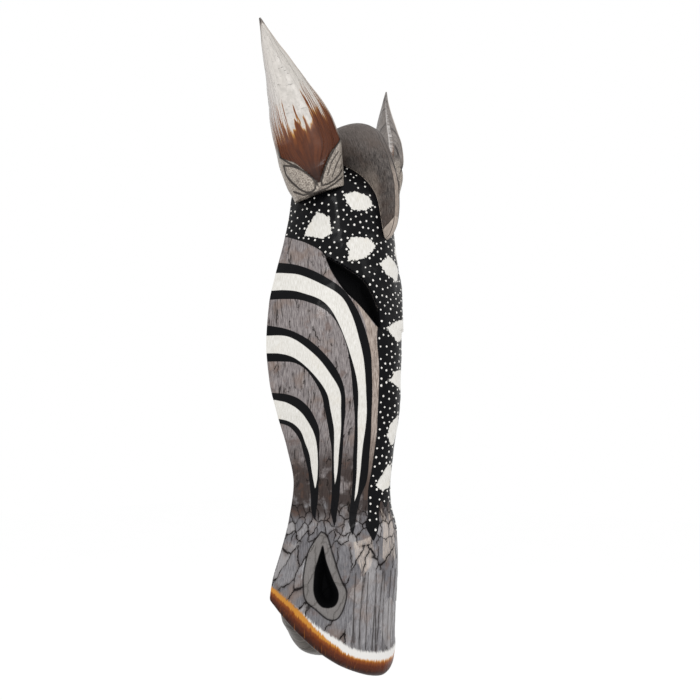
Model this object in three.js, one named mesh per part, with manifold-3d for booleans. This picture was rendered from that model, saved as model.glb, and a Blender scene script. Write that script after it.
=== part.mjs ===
// A carved and painted wooden zebra mask for the wall: a head with a hollowed back, two ears and a
// forelock that are pegged on, and a steel hanger with a swinging ring let into the back.
// Heights are taken up from the lowest point of the lip, widths from the middle, and depths out from
// the flat back that lies on the wall (the face looks along -Y). All lengths are in millimetres.
import * as THREE from "three";
import { mergeVertices } from "three/addons/utils/BufferGeometryUtils.js";
import Module from "manifold-3d";

const wasm = await Module();
wasm.setup();

// Driving dimensions of the head: [height, value] stations, joined by smooth curves.
const HALF_WIDTH = [[0, 59], [54, 59], [68, 56.5], [90, 47], [114, 38], [141, 33], [169, 41], [196, 53],
  [221, 62], [251, 66], [281, 63.5], [306, 56.5], [336, 46.5], [366, 39.5], [402, 37]];
const RIDGE_DEPTH = [[0, 64], [16, 66.3], [46, 67.6], [86, 70.3], [106, 69.8], [124, 66], [138, 65.6],
  [156, 67.8], [188, 73.2], [221, 75.7], [256, 75.8], [291, 73.2], [320, 70], [340, 67.6], [366, 65],
  [402, 52]];
const BAND_HALF = [[0, 30], [66, 30], [106, 24], [141, 16], [171, 17], [206, 20], [256, 22], [306, 26],
  [402, 22]];
const BAND_CROWN = [[0, 15], [66, 15], [106, 11], [141, 7], [171, 8], [206, 9], [402, 9]];
const CHEEK_BULGE = [[0, 8], [66, 8], [106, 5], [141, 3], [196, 7], [251, 9], [306, 6], [346, 9],
  [370, 12], [402, 12]];
const BAND_SHARE = 0.34;
const HEAD_TOP = 402;
const DOME_START = 364;
const DOME_DEPTH = 30;
const LIP_LOW = -2;
const LIP_LIFT = 56;
const LIP_CURVE = 1.7;
const LIP_BLEND_TOP = 121;
const LIP_ROUND = 5;
const HEAD_ROWS = 34;
const HEAD_COLUMNS = 28;

// Eye slits, nostrils, chin and the hollow in the back.
// Eyes and nostrils: [side, height, half width] along the middle of each cut.
const EYE_LINE = [[0.61, 312, 1.5], [0.54, 307, 5.5], [0.46, 299, 7.5], [0.37, 288, 8], [0.295, 276, 6.5],
  [0.24, 264, 1.5]];
const EYE_SLIT_DEPTH = 7;
const NOSTRIL_LINE = [[0.6, 95, 1], [0.585, 84, 4.5], [0.555, 72, 7.5], [0.52, 61, 9], [0.5, 54, 6]];
const NOSTRIL_DEPTH = 11;
// A cut is at full depth where it is this wide each side, and keeps a share of it at its thin ends.
const POCKET_FULL_HALF = 5;
const POCKET_LEAST = 0.2;
const POCKET_SIDES = 10;
// Chin under the slanted lip: [height, half width, half depth] of ovals cut off by the back plane.
const CHIN = [[8.5, 12, 8], [10.5, 24, 14], [14.5, 33, 20], [20, 38.5, 24], [30, 45, 29], [40, 51, 33],
  [52, 54, 36], [64, 46, 30]];
const CHIN_OVAL_DEPTH = 14;
const CHIN_SIDES = 24;
const HOLLOW_CENTRE = 222;
const HOLLOW_HALF_HEIGHT = 66;
const HOLLOW_HALF_WIDTH = 28;
// The hollow narrows as it gets deeper: [depth, share of its mouth]. It is wider at its upper end.
const HOLLOW_FLOOR = [[2, 1], [-8, 1], [-24, 0.93], [-36, 0.8], [-43, 0.58], [-45, 0.3]];
const HOLLOW_SIDES = 26;
const HOLLOW_ROUNDNESS = 0.77;
const HOLLOW_WIDENING = 0.35;
const HOLLOW_LEAST = 0.4;

// Ears: a leaf with a scooped face on a round neck. Stations run from the foot (0) to the tip (1).
const EAR_FOOT = [38, -27, 374];
const EAR_TIP = [86, -8, 506];
const EAR_FACING = [0.72, -0.69, 0];
const EAR_HALF_WIDTH = [[-0.03, 20.5], [0, 21.5], [0.06, 23.5], [0.2, 25.5], [0.33, 24.5], [0.42, 22.5],
  [0.51, 19], [0.63, 14.4], [0.75, 10.2], [0.87, 5.4], [1, 0.7]];
const EAR_THICKNESS = [[-0.03, 32], [0, 33], [0.12, 34], [0.25, 32], [0.38, 27], [0.52, 20], [0.68, 13.5],
  [0.85, 7.5], [1, 1.2]];
const EAR_FORWARD = [[-0.03, 1.5], [0.1, 3.5], [0.28, 6.5], [0.42, 5.5], [0.6, 2.5], [0.8, 0.5], [1, 0]];
const EAR_INWARD = [[-0.03, 0.5], [0.1, 1.5], [0.3, 3.2], [0.6, 2.4], [0.85, 0.6], [1, 0]];
const SCOOP_HALF_WIDTH = [[0.022, 0.5], [0.084, 6], [0.104, 8], [0.167, 15.5], [0.18, 18.5], [0.235, 26.5],
  [0.33, 27], [0.42, 25], [0.51, 21.5], [0.63, 17], [0.75, 12.8], [0.87, 8], [0.97, 4]];
// The face is dished: [place, mm forward of the ear's middle] along its middle and at its edges.
const FACE_LEVEL = [[0.022, 15.8], [0.06, 13.5], [0.12, 9.5], [0.2, 6.5], [0.27, 4.8], [0.38, 3.6], [0.52, 2.4],
  [0.68, 1.2], [0.85, 0.6], [0.93, 0.9], [0.97, 1.6]];
const FACE_EDGE = [[0.022, 15.8], [0.06, 14.8], [0.12, 14], [0.2, 13.4], [0.27, 13.2], [0.38, 11.8],
  [0.52, 9.8], [0.68, 6.8], [0.85, 3.6], [0.93, 2.2], [0.97, 1.8]];
// In front of its middle the ear is deeper by this factor, and its section is squarer the smaller
// this power is (1 is an ellipse).
const FRONT_DEPTH = [[-0.03, 1], [0.25, 0.98], [0.38, 1], [0.55, 1.12], [0.7, 1.15], [1, 1]];
const FRONT_POWER = [[-0.03, 0.85], [0.1, 0.6], [0.25, 0.28], [0.6, 0.28], [0.85, 0.5], [1, 1]];
const EAR_FOOT_PLACE = EAR_HALF_WIDTH[0][0];
const EAR_STEPS = 18;
const EAR_SIDES = 22;
const SCOOP_STEPS = 20;
const SCOOP_SIDES = 8;
const SCOOP_SPARE = 1.5;

// Forelock: [height, front depth, half width at the foot, back depth].
const FORELOCK = [[334, 67, 3.2, 40], [339, 73.5, 4.2, 40], [350, 78, 5.4, 40], [363, 79, 6.8, 40],
  [376, 78.6, 8.4, 38], [386, 77, 10, 34], [396, 74, 13, 27], [407, 70, 19.5, 16],
  [417, 65.5, 22.5, 9], [426, 61, 20.5, 11], [432.5, 54.5, 15.5, 18], [436.3, 46, 9, 27]];
// The keel's flat front is this wide each side of the middle, and narrows where the forelock is slim.
const FORELOCK_KEEL = 3;
const KEEL_FULL_HALF = 6;
// The flanks reach this share of the depth at the full width, then tuck in to the flat back.
const FORELOCK_FLANK = 0.62;
const FORELOCK_STEPS = 7;
const FORELOCK_TUCKS = [[0.9, 0.12], [0.6, 0]];

// Wooden pegs and the play round them.
const PLAY = 0.35;
const EAR_PEG = { radius: 5, length: 40 };
const FORELOCK_PEG = { radius: 4, length: 26 };
const FORELOCK_PEG_HEIGHTS = { lower: 357, upper: 381 };
const FORELOCK_PEG_SINK = 6;

// Hanger: a steel strap with a curled eye, its ring and two screws, in a recess of the back.
const RECESS = { low: 320, high: 379, half: 13, depth: 6.5, corner: 6 };
const RECESS_SPARE = 2;
const RING_AXIS_HEIGHT = 360;
const PLATE = 1.2;
const STRAP_HALF = 6.2;
const STRAP_LENGTH = 35;
const WIRE = 1.2;
const WIRE_PLAY = 0.35;
const RING_HALF = 8.4;
const RING_LEG = 5;
const BAR_STEPS = 4;
const BOW_STEPS = 12;
const WIRE_SIDES = 8;
const SCREW = { radius: 1.5, length: 15, head: 3.4, headHeight: 1.8 };
const SCREW_DROPS = { upper: 19, lower: 29 };

// The point on the flat back, between the hollow and the recess, that the whole mask is measured from.
const BACK_POINT_HEIGHT = 304;

// A smooth curve through [place, value] stations that never swings past them.
function curve(stations) {
  const last = stations.length - 1;
  const slope = (i) => (stations[i + 1][1] - stations[i][1]) / (stations[i + 1][0] - stations[i][0]);
  const tangents = stations.map((station, i) => {
    if (i === 0 || i === last) {
      return slope(Math.max(i - 1, 0));
    }
    const before = slope(i - 1);
    const after = slope(i);
    return before * after > 0 ? (2 * before * after) / (before + after) : 0;
  });
  return (place) => {
    const x = Math.min(Math.max(place, stations[0][0]), stations[last][0]);
    let i = 0;
    while (i < last - 1 && x > stations[i + 1][0]) {
      i += 1;
    }
    const span = stations[i + 1][0] - stations[i][0];
    const t = (x - stations[i][0]) / span;
    const rise = t * t * (3 - 2 * t);
    return stations[i][1] * (1 - rise) + stations[i + 1][1] * rise
      + span * (tangents[i] * t * (1 - t) * (1 - t) - tangents[i + 1] * t * t * (1 - t));
  };
}

const halfWidth = curve(HALF_WIDTH);
const ridgeDepth = curve(RIDGE_DEPTH);
const bandHalf = curve(BAND_HALF);
const bandCrown = curve(BAND_CROWN);
const cheekBulge = curve(CHEEK_BULGE);

// A closed solid through rings of equal length. Rings run counter-clockwise seen from the far end.
function loft(rings, joined = false) {
  const size = rings[0].length;
  const positions = rings.flat().flatMap((point) => [point.x, point.y, point.z]);
  const faces = [];
  const spans = joined ? rings.length : rings.length - 1;
  for (let row = 0; row < spans; row += 1) {
    const next = (row + 1) % rings.length;
    for (let i = 0; i < size; i += 1) {
      const j = (i + 1) % size;
      faces.push(row * size + i, row * size + j, next * size + j);
      faces.push(row * size + i, next * size + j, next * size + i);
    }
  }
  if (!joined) {
    const ends = [rings[0], rings[rings.length - 1]];
    ends.forEach((ring, end) => {
      const middle = new THREE.Vector3();
      ring.forEach((point) => middle.addScaledVector(point, 1 / size));
      const hub = positions.length / 3;
      positions.push(middle.x, middle.y, middle.z);
      const start = end === 0 ? 0 : (rings.length - 1) * size;
      for (let i = 0; i < size; i += 1) {
        const pair = [start + i, start + ((i + 1) % size)];
        faces.push(hub, ...(end === 0 ? pair.reverse() : pair));
      }
    });
  }
  const geometry = new THREE.BufferGeometry();
  geometry.setAttribute("position", new THREE.Float32BufferAttribute(positions, 3));
  geometry.setIndex(faces);
  return geometry;
}

function solid(geometry) {
  const clean = geometry.clone();
  clean.deleteAttribute("normal");
  clean.deleteAttribute("uv");
  const merged = mergeVertices(clean, 1e-4);
  const vertProperties = new Float32Array(merged.attributes.position.array);
  const triVerts = new Uint32Array(merged.index.array);
  return new wasm.Manifold(new wasm.Mesh({ numProp: 3, vertProperties, triVerts }));
}

function geometryOf(manifold) {
  const { vertProperties, triVerts } = manifold.getMesh();
  const geometry = new THREE.BufferGeometry();
  geometry.setAttribute("position", new THREE.BufferAttribute(new Float32Array(vertProperties), 3));
  geometry.setIndex(Array.from(triVerts));
  return geometry;
}

// A round bar between two points.
function bar(from, to, radius, sides = 14) {
  const shape = new THREE.CylinderGeometry(radius, radius, from.distanceTo(to), sides);
  const along = new THREE.Vector3().subVectors(to, from).normalize();
  shape.applyQuaternion(new THREE.Quaternion().setFromUnitVectors(new THREE.Vector3(0, 1, 0), along));
  const middle = new THREE.Vector3().addVectors(from, to).multiplyScalar(0.5);
  return shape.translate(middle.x, middle.y, middle.z);
}

// The head's outer surface. side runs from -1 at the left back edge through 0 on the ridge to 1.
function lipHeight(side) {
  return LIP_LOW + LIP_LIFT * Math.abs(side) ** LIP_CURVE;
}

function headPoint(height, side, grow = 0) {
  const share = Math.abs(side);
  const width = halfWidth(height) + grow;
  const band = bandHalf(height) + grow / 2;
  const crown = bandCrown(height);
  const shoulder = ridgeDepth(height) + grow - crown;
  const place = new THREE.Vector2();
  if (share <= BAND_SHARE) {
    const across = share / BAND_SHARE;
    place.set(band * across, -shoulder - crown * (1 - across * across));
  } else {
    const across = (share - BAND_SHARE) / (1 - BAND_SHARE);
    const chord = new THREE.Vector2(width - band, shoulder);
    const bulge = cheekBulge(height) * 4 * across * (1 - across) * (1.15 - 0.3 * across);
    const out = new THREE.Vector2(chord.y, -chord.x).normalize().multiplyScalar(bulge);
    place.set(band, -shoulder).addScaledVector(chord, across).add(out);
  }
  const rise = Math.min(Math.max((height - DOME_START) / (HEAD_TOP - DOME_START), 0), 1);
  const shrink = Math.sqrt(1 - 0.9 * rise ** 2.4);
  const depth = place.y < -DOME_DEPTH ? -DOME_DEPTH + (place.y + DOME_DEPTH) * shrink : place.y;
  return new THREE.Vector3(Math.sign(side) * place.x * shrink, depth, height);
}

// A row of the head starts at the lip line, and levels out higher up the muzzle.
function rowHeight(row, side) {
  const low = lipHeight(side);
  return row < LIP_BLEND_TOP ? low + ((LIP_BLEND_TOP - low) * row) / LIP_BLEND_TOP : row;
}

function headBlank(grow = 0) {
  const rings = [];
  const sides = Array.from({ length: HEAD_COLUMNS + 1 }, (_, i) => (2 * i) / HEAD_COLUMNS - 1);
  const under = sides.map((side) => {
    const point = headPoint(rowHeight(LIP_ROUND, side), side, grow);
    return point.set(point.x * 0.9, point.y * 0.93 - grow, lipHeight(side) - grow);
  });
  rings.push(under);
  const rows = [1.5, LIP_ROUND];
  for (let i = 1; i <= HEAD_ROWS; i += 1) {
    rows.push(LIP_ROUND + ((HEAD_TOP - LIP_ROUND) * i) / HEAD_ROWS);
  }
  rows.forEach((row) => {
    rings.push(sides.map((side) => {
      const point = headPoint(rowHeight(row, side), side, grow);
      const tuck = row < LIP_ROUND ? 0.965 : 1;
      return new THREE.Vector3(point.x * tuck, point.y * tuck, point.z);
    }));
  });
  rings[rings.length - 1].forEach((point) => point.setZ(point.z + grow));
  return solid(loft(rings));
}

// A blind pocket that follows a line of [side, height, half width] stations on one cheek.
function cheekPocket(line, depth, sign) {
  const first = line[0];
  const last = line[line.length - 1];
  const run = headPoint(last[1], last[0] * sign).sub(headPoint(first[1], first[0] * sign)).normalize();
  const rings = line.map(([side, height, half]) => {
    const here = headPoint(height, side * sign);
    const ahead = headPoint(height - 1, side * sign);
    const across = headPoint(height, (side + 0.01) * sign);
    const down = new THREE.Vector3().subVectors(ahead, here);
    const outward = new THREE.Vector3().subVectors(across, here).cross(down).multiplyScalar(sign).normalize();
    const sideways = new THREE.Vector3().crossVectors(outward, run).normalize();
    const reach = depth * Math.min(1, half / POCKET_FULL_HALF + POCKET_LEAST);
    return Array.from({ length: POCKET_SIDES }, (_, i) => {
      const angle = (i / POCKET_SIDES) * 2 * Math.PI;
      return here.clone()
        .addScaledVector(sideways, Math.cos(angle) * half)
        .addScaledVector(outward, Math.sin(angle) * reach);
    });
  });
  return solid(loft(rings));
}

function backHollow() {
  const rings = HOLLOW_FLOOR.map(([depth, scale]) => Array.from({ length: HOLLOW_SIDES }, (_, i) => {
    const angle = (i / HOLLOW_SIDES) * 2 * Math.PI;
    const across = Math.sign(Math.cos(angle)) * Math.abs(Math.cos(angle)) ** HOLLOW_ROUNDNESS;
    const up = Math.sign(Math.sin(angle)) * Math.abs(Math.sin(angle)) ** HOLLOW_ROUNDNESS;
    const half = HOLLOW_HALF_WIDTH * (1 + HOLLOW_WIDENING * up) * scale;
    const reach = HOLLOW_HALF_HEIGHT * (HOLLOW_LEAST + (1 - HOLLOW_LEAST) * scale);
    return new THREE.Vector3(across * half, depth, HOLLOW_CENTRE + up * reach);
  }));
  return solid(loft(rings));
}

function hangerRecess() {
  const outline = new THREE.Shape();
  const { low, high, half, depth, corner } = RECESS;
  outline.moveTo(-half + corner, low);
  outline.absarc(half - corner, low + corner, corner, -Math.PI / 2, 0);
  outline.absarc(half - corner, high - corner, corner, 0, Math.PI / 2);
  outline.absarc(-half + corner, high - corner, corner, Math.PI / 2, Math.PI);
  outline.absarc(-half + corner, low + corner, corner, Math.PI, 1.5 * Math.PI);
  const options = { depth: depth + RECESS_SPARE, bevelEnabled: false, curveSegments: 4 };
  const block = new THREE.ExtrudeGeometry(outline, options);
  block.rotateX(Math.PI / 2).translate(0, RECESS_SPARE, 0);
  return solid(block);
}

// Ear frame: along the ear, out of its face, and across it.
function earFrame(sign) {
  const foot = new THREE.Vector3(EAR_FOOT[0] * sign, EAR_FOOT[1], EAR_FOOT[2]);
  const tip = new THREE.Vector3(EAR_TIP[0] * sign, EAR_TIP[1], EAR_TIP[2]);
  const along = new THREE.Vector3().subVectors(tip, foot);
  const length = along.length();
  along.normalize();
  const facing = new THREE.Vector3(EAR_FACING[0] * sign, EAR_FACING[1], EAR_FACING[2]);
  facing.addScaledVector(along, -facing.dot(along)).normalize();
  const across = new THREE.Vector3().crossVectors(facing, along).normalize();
  const inward = across.clone().multiplyScalar(-sign * Math.sign(across.x));
  return { foot, along, length, facing, across, inward };
}

function earBody(frame, grow = 0) {
  const half = curve(EAR_HALF_WIDTH);
  const frontDepth = curve(FRONT_DEPTH);
  const squareness = curve(FRONT_POWER);
  const thickness = curve(EAR_THICKNESS);
  const forward = curve(EAR_FORWARD);
  const inward = curve(EAR_INWARD);
  const rings = Array.from({ length: EAR_STEPS + 1 }, (_, step) => {
    const place = EAR_FOOT_PLACE + ((1 - EAR_FOOT_PLACE) * step) / EAR_STEPS;
    const middle = frame.foot.clone()
      .addScaledVector(frame.along, place * frame.length)
      .addScaledVector(frame.facing, forward(place))
      .addScaledVector(frame.inward, inward(place));
    return Array.from({ length: EAR_SIDES }, (_, i) => {
      const angle = (i / EAR_SIDES) * 2 * Math.PI;
      const inFront = Math.sin(angle) > 0;
      const power = inFront ? squareness(place) : 1;
      const deep = thickness(place) * 0.5 * (inFront ? frontDepth(place) : 1);
      const x = Math.sign(Math.cos(angle)) * Math.abs(Math.cos(angle)) ** power;
      const out = Math.sign(Math.sin(angle)) * Math.abs(Math.sin(angle)) ** power;
      return middle.clone()
        .addScaledVector(frame.across, x * (half(place) + grow))
        .addScaledVector(frame.facing, out * (deep + grow));
    });
  });
  return solid(loft(rings));
}

function earScoop(frame) {
  const width = curve(SCOOP_HALF_WIDTH);
  const level = curve(FACE_LEVEL);
  const edge = curve(FACE_EDGE);
  const half = curve(EAR_HALF_WIDTH);
  const thickness = curve(EAR_THICKNESS);
  const forward = curve(EAR_FORWARD);
  const inward = curve(EAR_INWARD);
  const start = SCOOP_HALF_WIDTH[0][0];
  const end = SCOOP_HALF_WIDTH[SCOOP_HALF_WIDTH.length - 1][0];
  const rings = Array.from({ length: SCOOP_STEPS + 1 }, (_, row) => {
    const place = start + ((end - start) * row) / SCOOP_STEPS;
    const middle = frame.foot.clone()
      .addScaledVector(frame.along, place * frame.length)
      .addScaledVector(frame.facing, forward(place))
      .addScaledVector(frame.inward, inward(place));
    const point = (x, out) => middle.clone()
      .addScaledVector(frame.across, x)
      .addScaledVector(frame.facing, out);
    const steps = Array.from({ length: SCOOP_SIDES + 1 }, (_, i) => (2 * i) / SCOOP_SIDES - 1);
    const across = steps.map((step) => step * width(place));
    const dish = (x) => level(place) + (edge(place) - level(place)) * (x / half(place)) ** 2;
    const floor = across.map((x) => point(x, dish(x)));
    const top = across.map((x) => point(-x, Math.max(thickness(place) * 0.6, dish(x)) + SCOOP_SPARE));
    return [...top, ...floor];
  });
  return solid(loft(rings));
}

function earPegEnds(frame, spare = 0) {
  const reach = EAR_PEG.length / 2 + spare;
  const from = frame.foot.clone().addScaledVector(frame.along, -reach);
  const to = frame.foot.clone().addScaledVector(frame.along, reach);
  return [from, to];
}

// The forelock is a keel in front that widens into a cap over the top of the head.
function forelockBody() {
  const rings = FORELOCK.map(([height, front, half, back]) => {
    const side = [];
    const keel = FORELOCK_KEEL * Math.min(1, half / KEEL_FULL_HALF);
    for (let i = 0; i <= FORELOCK_STEPS; i += 1) {
      const turn = (i / FORELOCK_STEPS) * (Math.PI / 2);
      const x = keel + (half - keel) * Math.sin(turn);
      const y = -front + (front - back) * FORELOCK_FLANK * (1 - Math.cos(turn));
      side.push([x, y]);
    }
    FORELOCK_TUCKS.forEach(([width, depth]) => {
      side.push([half * width, -back - (front - back) * depth]);
    });
    const right = side.map(([x, y]) => new THREE.Vector3(x, y, height));
    const left = side.map(([x, y]) => new THREE.Vector3(-x, y, height)).reverse();
    return [...left, ...right];
  });
  return solid(loft(rings));
}

function forelockPegEnds(height, spare = 0) {
  const depth = -headPoint(height, 0).y;
  const reach = FORELOCK_PEG.length / 2 + spare;
  const middle = depth - FORELOCK_PEG_SINK;
  return [new THREE.Vector3(0, -middle - reach, height), new THREE.Vector3(0, -middle + reach, height)];
}

// Hanger pieces. The eye's centre is a plate and a wire's play above the recess floor.
const EYE_BORE = WIRE + WIRE_PLAY;
const FLOOR = -RECESS.depth;
const FACE_GAP = 0.3;
const PLATE_BACK = FLOOR + FACE_GAP;
const RING_AXIS_DEPTH = PLATE_BACK + PLATE + EYE_BORE;

function hangerStrap() {
  const outline = new THREE.Shape();
  outline.moveTo(-STRAP_HALF, 0);
  outline.lineTo(-STRAP_HALF, -STRAP_LENGTH + STRAP_HALF);
  outline.absarc(0, -STRAP_LENGTH + STRAP_HALF, STRAP_HALF, Math.PI, 2 * Math.PI);
  outline.lineTo(STRAP_HALF, 0);
  const plate = new THREE.ExtrudeGeometry(outline, { depth: PLATE, bevelEnabled: false, curveSegments: 10 });
  plate.rotateX(Math.PI / 2).translate(0, PLATE_BACK + PLATE, RING_AXIS_HEIGHT);
  const from = new THREE.Vector3(-STRAP_HALF, RING_AXIS_DEPTH, RING_AXIS_HEIGHT);
  const to = new THREE.Vector3(STRAP_HALF, RING_AXIS_DEPTH, RING_AXIS_HEIGHT);
  const past = new THREE.Vector3(2, 0, 0);
  let strap = solid(plate).add(solid(bar(from, to, EYE_BORE + PLATE, 20)));
  strap = strap.subtract(solid(bar(from.clone().sub(past), to.clone().add(past), EYE_BORE, 20)));
  Object.values(SCREW_DROPS).forEach((drop) => {
    const hole = bar(
      new THREE.Vector3(0, PLATE_BACK - 1, RING_AXIS_HEIGHT - drop),
      new THREE.Vector3(0, PLATE_BACK + PLATE + 1, RING_AXIS_HEIGHT - drop),
      SCREW.radius + PLAY,
    );
    strap = strap.subtract(solid(hole));
  });
  return geometryOf(strap);
}

function hangerRing() {
  const line = new THREE.CurvePath();
  const place = (x, z) => new THREE.Vector3(x, RING_AXIS_DEPTH, RING_AXIS_HEIGHT + z);
  const points = [];
  for (let i = 0; i <= BAR_STEPS; i += 1) {
    points.push(place((RING_HALF - WIRE) * ((2 * i) / BAR_STEPS - 1), 0));
  }
  points.push(place(RING_HALF, -WIRE));
  for (let i = 0; i <= BOW_STEPS; i += 1) {
    const angle = (i / BOW_STEPS) * Math.PI;
    points.push(place(RING_HALF * Math.cos(angle), -RING_LEG - RING_HALF * Math.sin(angle)));
  }
  points.push(place(-RING_HALF, -WIRE));
  const towardWall = new THREE.Vector3(0, 1, 0);
  const rings = points.map((point, i) => {
    const before = points[(i + points.length - 1) % points.length];
    const after = points[(i + 1) % points.length];
    const along = new THREE.Vector3().subVectors(after, before).normalize();
    const across = new THREE.Vector3().crossVectors(towardWall, along).normalize();
    return Array.from({ length: WIRE_SIDES }, (_, k) => {
      const angle = (k / WIRE_SIDES) * 2 * Math.PI;
      return point.clone()
        .addScaledVector(across, Math.cos(angle) * WIRE)
        .addScaledVector(towardWall, Math.sin(angle) * WIRE);
    });
  });
  return loft(rings, true);
}

function hangerScrew(drop) {
  const { radius, length, head, headHeight } = SCREW;
  const seat = PLATE_BACK + PLATE + FACE_GAP;
  const profile = [[0, -length], [radius * 0.5, -length + 1.5], [radius, -length + 4], [radius, 0], [head, 0],
    [head, headHeight * 0.35], [head * 0.72, headHeight * 0.85], [0, headHeight]];
  const shape = new THREE.LatheGeometry(profile.map(([r, y]) => new THREE.Vector2(r, y)), 14);
  return shape.translate(0, seat, RING_AXIS_HEIGHT - drop);
}

function screwHole(drop) {
  const from = new THREE.Vector3(0, FLOOR - SCREW.length - 1, RING_AXIS_HEIGHT - drop);
  const to = new THREE.Vector3(0, FLOOR + 1, RING_AXIS_HEIGHT - drop);
  return solid(bar(from, to, SCREW.radius + PLAY));
}

const SIDES = { left: -1, right: 1 };
const earFrames = Object.fromEntries(Object.entries(SIDES).map(([name, sign]) => [name, earFrame(sign)]));

function head() {
  const chin = CHIN.map(([height, half, depth]) => Array.from({ length: CHIN_SIDES }, (_, i) => {
    const angle = (i / CHIN_SIDES) * 2 * Math.PI;
    const out = Math.min(Math.sin(angle) * depth - CHIN_OVAL_DEPTH, 0);
    return new THREE.Vector3(Math.cos(angle) * half, out, height);
  }));
  let block = headBlank().add(solid(loft(chin)));
  Object.entries(SIDES).forEach(([name, sign]) => {
    block = block.subtract(cheekPocket(EYE_LINE, EYE_SLIT_DEPTH, sign));
    block = block.subtract(cheekPocket(NOSTRIL_LINE, NOSTRIL_DEPTH, sign));
    block = block.subtract(solid(bar(...earPegEnds(earFrames[name], PLAY), EAR_PEG.radius + PLAY)));
  });
  Object.values(FORELOCK_PEG_HEIGHTS).forEach((height) => {
    block = block.subtract(solid(bar(...forelockPegEnds(height, PLAY), FORELOCK_PEG.radius + PLAY)));
  });
  block = block.subtract(backHollow()).subtract(hangerRecess());
  Object.values(SCREW_DROPS).forEach((drop) => {
    block = block.subtract(screwHole(drop));
  });
  return geometryOf(block);
}

function ear(name) {
  const frame = earFrames[name];
  let body = earBody(frame).subtract(earScoop(frame)).subtract(headBlank(PLAY));
  body = body.subtract(solid(bar(...earPegEnds(frame, PLAY), EAR_PEG.radius + PLAY)));
  return geometryOf(body);
}

function forelock() {
  let body = forelockBody().subtract(headBlank(PLAY));
  Object.values(earFrames).forEach((frame) => {
    body = body.subtract(earBody(frame, PLAY));
  });
  Object.values(FORELOCK_PEG_HEIGHTS).forEach((height) => {
    body = body.subtract(solid(bar(...forelockPegEnds(height, PLAY), FORELOCK_PEG.radius + PLAY)));
  });
  return geometryOf(body);
}

const FINISH = {
  paint: { color: 0x8f8784, roughness: 0.4, metalness: 0 },
  dowel: { color: 0xc8a878, roughness: 0.7, metalness: 0 },
  steel: { color: 0xb9bcbf, roughness: 0.35, metalness: 1 },
};

const mask = new THREE.Group();

function place(name, geometry, finish) {
  const mesh = new THREE.Mesh(geometry, new THREE.MeshStandardMaterial(FINISH[finish]));
  mesh.name = name;
  mask.add(mesh);
}

place("head", head(), "paint");
place("forelock", forelock(), "paint");
Object.keys(SIDES).forEach((name) => {
  place(`ear_${name}`, ear(name), "paint");
  place(`ear_peg_${name}`, bar(...earPegEnds(earFrames[name]), EAR_PEG.radius), "dowel");
});
Object.entries(FORELOCK_PEG_HEIGHTS).forEach(([name, height]) => {
  place(`forelock_peg_${name}`, bar(...forelockPegEnds(height), FORELOCK_PEG.radius), "dowel");
});
place("hanger_strap", hangerStrap(), "steel");
place("hanger_ring", hangerRing(), "steel");
Object.entries(SCREW_DROPS).forEach(([name, drop]) => {
  place(`hanger_screw_${name}`, hangerScrew(drop), "steel");
});

mask.position.set(0, 0, -BACK_POINT_HEIGHT);

export default mask;
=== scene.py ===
import math

import bpy
import numpy as np
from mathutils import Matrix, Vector
from mathutils.bvhtree import BVHTree


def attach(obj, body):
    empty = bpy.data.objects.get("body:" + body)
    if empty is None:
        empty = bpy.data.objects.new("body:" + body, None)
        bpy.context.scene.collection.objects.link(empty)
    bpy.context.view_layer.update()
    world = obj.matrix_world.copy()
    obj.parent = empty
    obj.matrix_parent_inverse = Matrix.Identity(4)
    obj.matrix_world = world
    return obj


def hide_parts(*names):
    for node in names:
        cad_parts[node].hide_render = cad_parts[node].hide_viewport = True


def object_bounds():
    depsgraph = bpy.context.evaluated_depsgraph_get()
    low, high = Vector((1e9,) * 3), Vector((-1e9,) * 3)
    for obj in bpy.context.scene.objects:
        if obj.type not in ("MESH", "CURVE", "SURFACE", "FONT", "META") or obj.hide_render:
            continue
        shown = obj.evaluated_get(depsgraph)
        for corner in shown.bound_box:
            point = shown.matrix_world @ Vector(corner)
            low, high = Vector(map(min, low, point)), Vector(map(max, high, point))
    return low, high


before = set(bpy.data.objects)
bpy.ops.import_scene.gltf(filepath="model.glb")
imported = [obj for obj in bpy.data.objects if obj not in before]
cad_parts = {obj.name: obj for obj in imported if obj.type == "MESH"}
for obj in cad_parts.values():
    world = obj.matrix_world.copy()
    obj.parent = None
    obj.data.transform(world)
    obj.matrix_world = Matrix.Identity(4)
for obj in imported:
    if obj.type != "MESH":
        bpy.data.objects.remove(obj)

cad_box = [list(corner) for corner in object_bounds()]

# ---------------------------------------------------------------- the head's blank
# The head is one block of soft wood. The carver shapes a long zebra muzzle with a flat ridge down
# the middle and full cheeks, and leaves the back flat. Heights are taken up from the lip's lowest
# point, and side runs from -1 at the left back edge through 0 on the ridge to 1, in millimetres.
MM = 0.001
BACK_POINT_HEIGHT = 304
HALF_WIDTH = [(0, 59), (54, 59), (68, 56.5), (90, 47), (114, 38), (141, 33), (169, 41), (196, 53),
              (221, 62), (251, 66), (281, 63.5), (306, 56.5), (336, 46.5), (366, 39.5), (402, 37)]
RIDGE_DEPTH = [(0, 64), (16, 66.3), (46, 67.6), (86, 70.3), (106, 69.8), (124, 66), (138, 65.6),
               (156, 67.8), (188, 73.2), (221, 75.7), (256, 75.8), (291, 73.2), (320, 70),
               (340, 67.6), (366, 65), (402, 52)]
BAND_HALF = [(0, 30), (66, 30), (106, 24), (141, 16), (171, 17), (206, 20), (256, 22), (306, 26),
             (402, 22)]
BAND_CROWN = [(0, 15), (66, 15), (106, 11), (141, 7), (171, 8), (206, 9), (402, 9)]
CHEEK_BULGE = [(0, 8), (66, 8), (106, 5), (141, 3), (196, 7), (251, 9), (306, 6), (346, 9),
               (370, 12), (402, 12)]
BAND_SHARE = 0.34
HEAD_TOP = 402
DOME_START = 364
DOME_DEPTH = 30
LIP_LOW = -2
LIP_LIFT = 56
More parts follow.
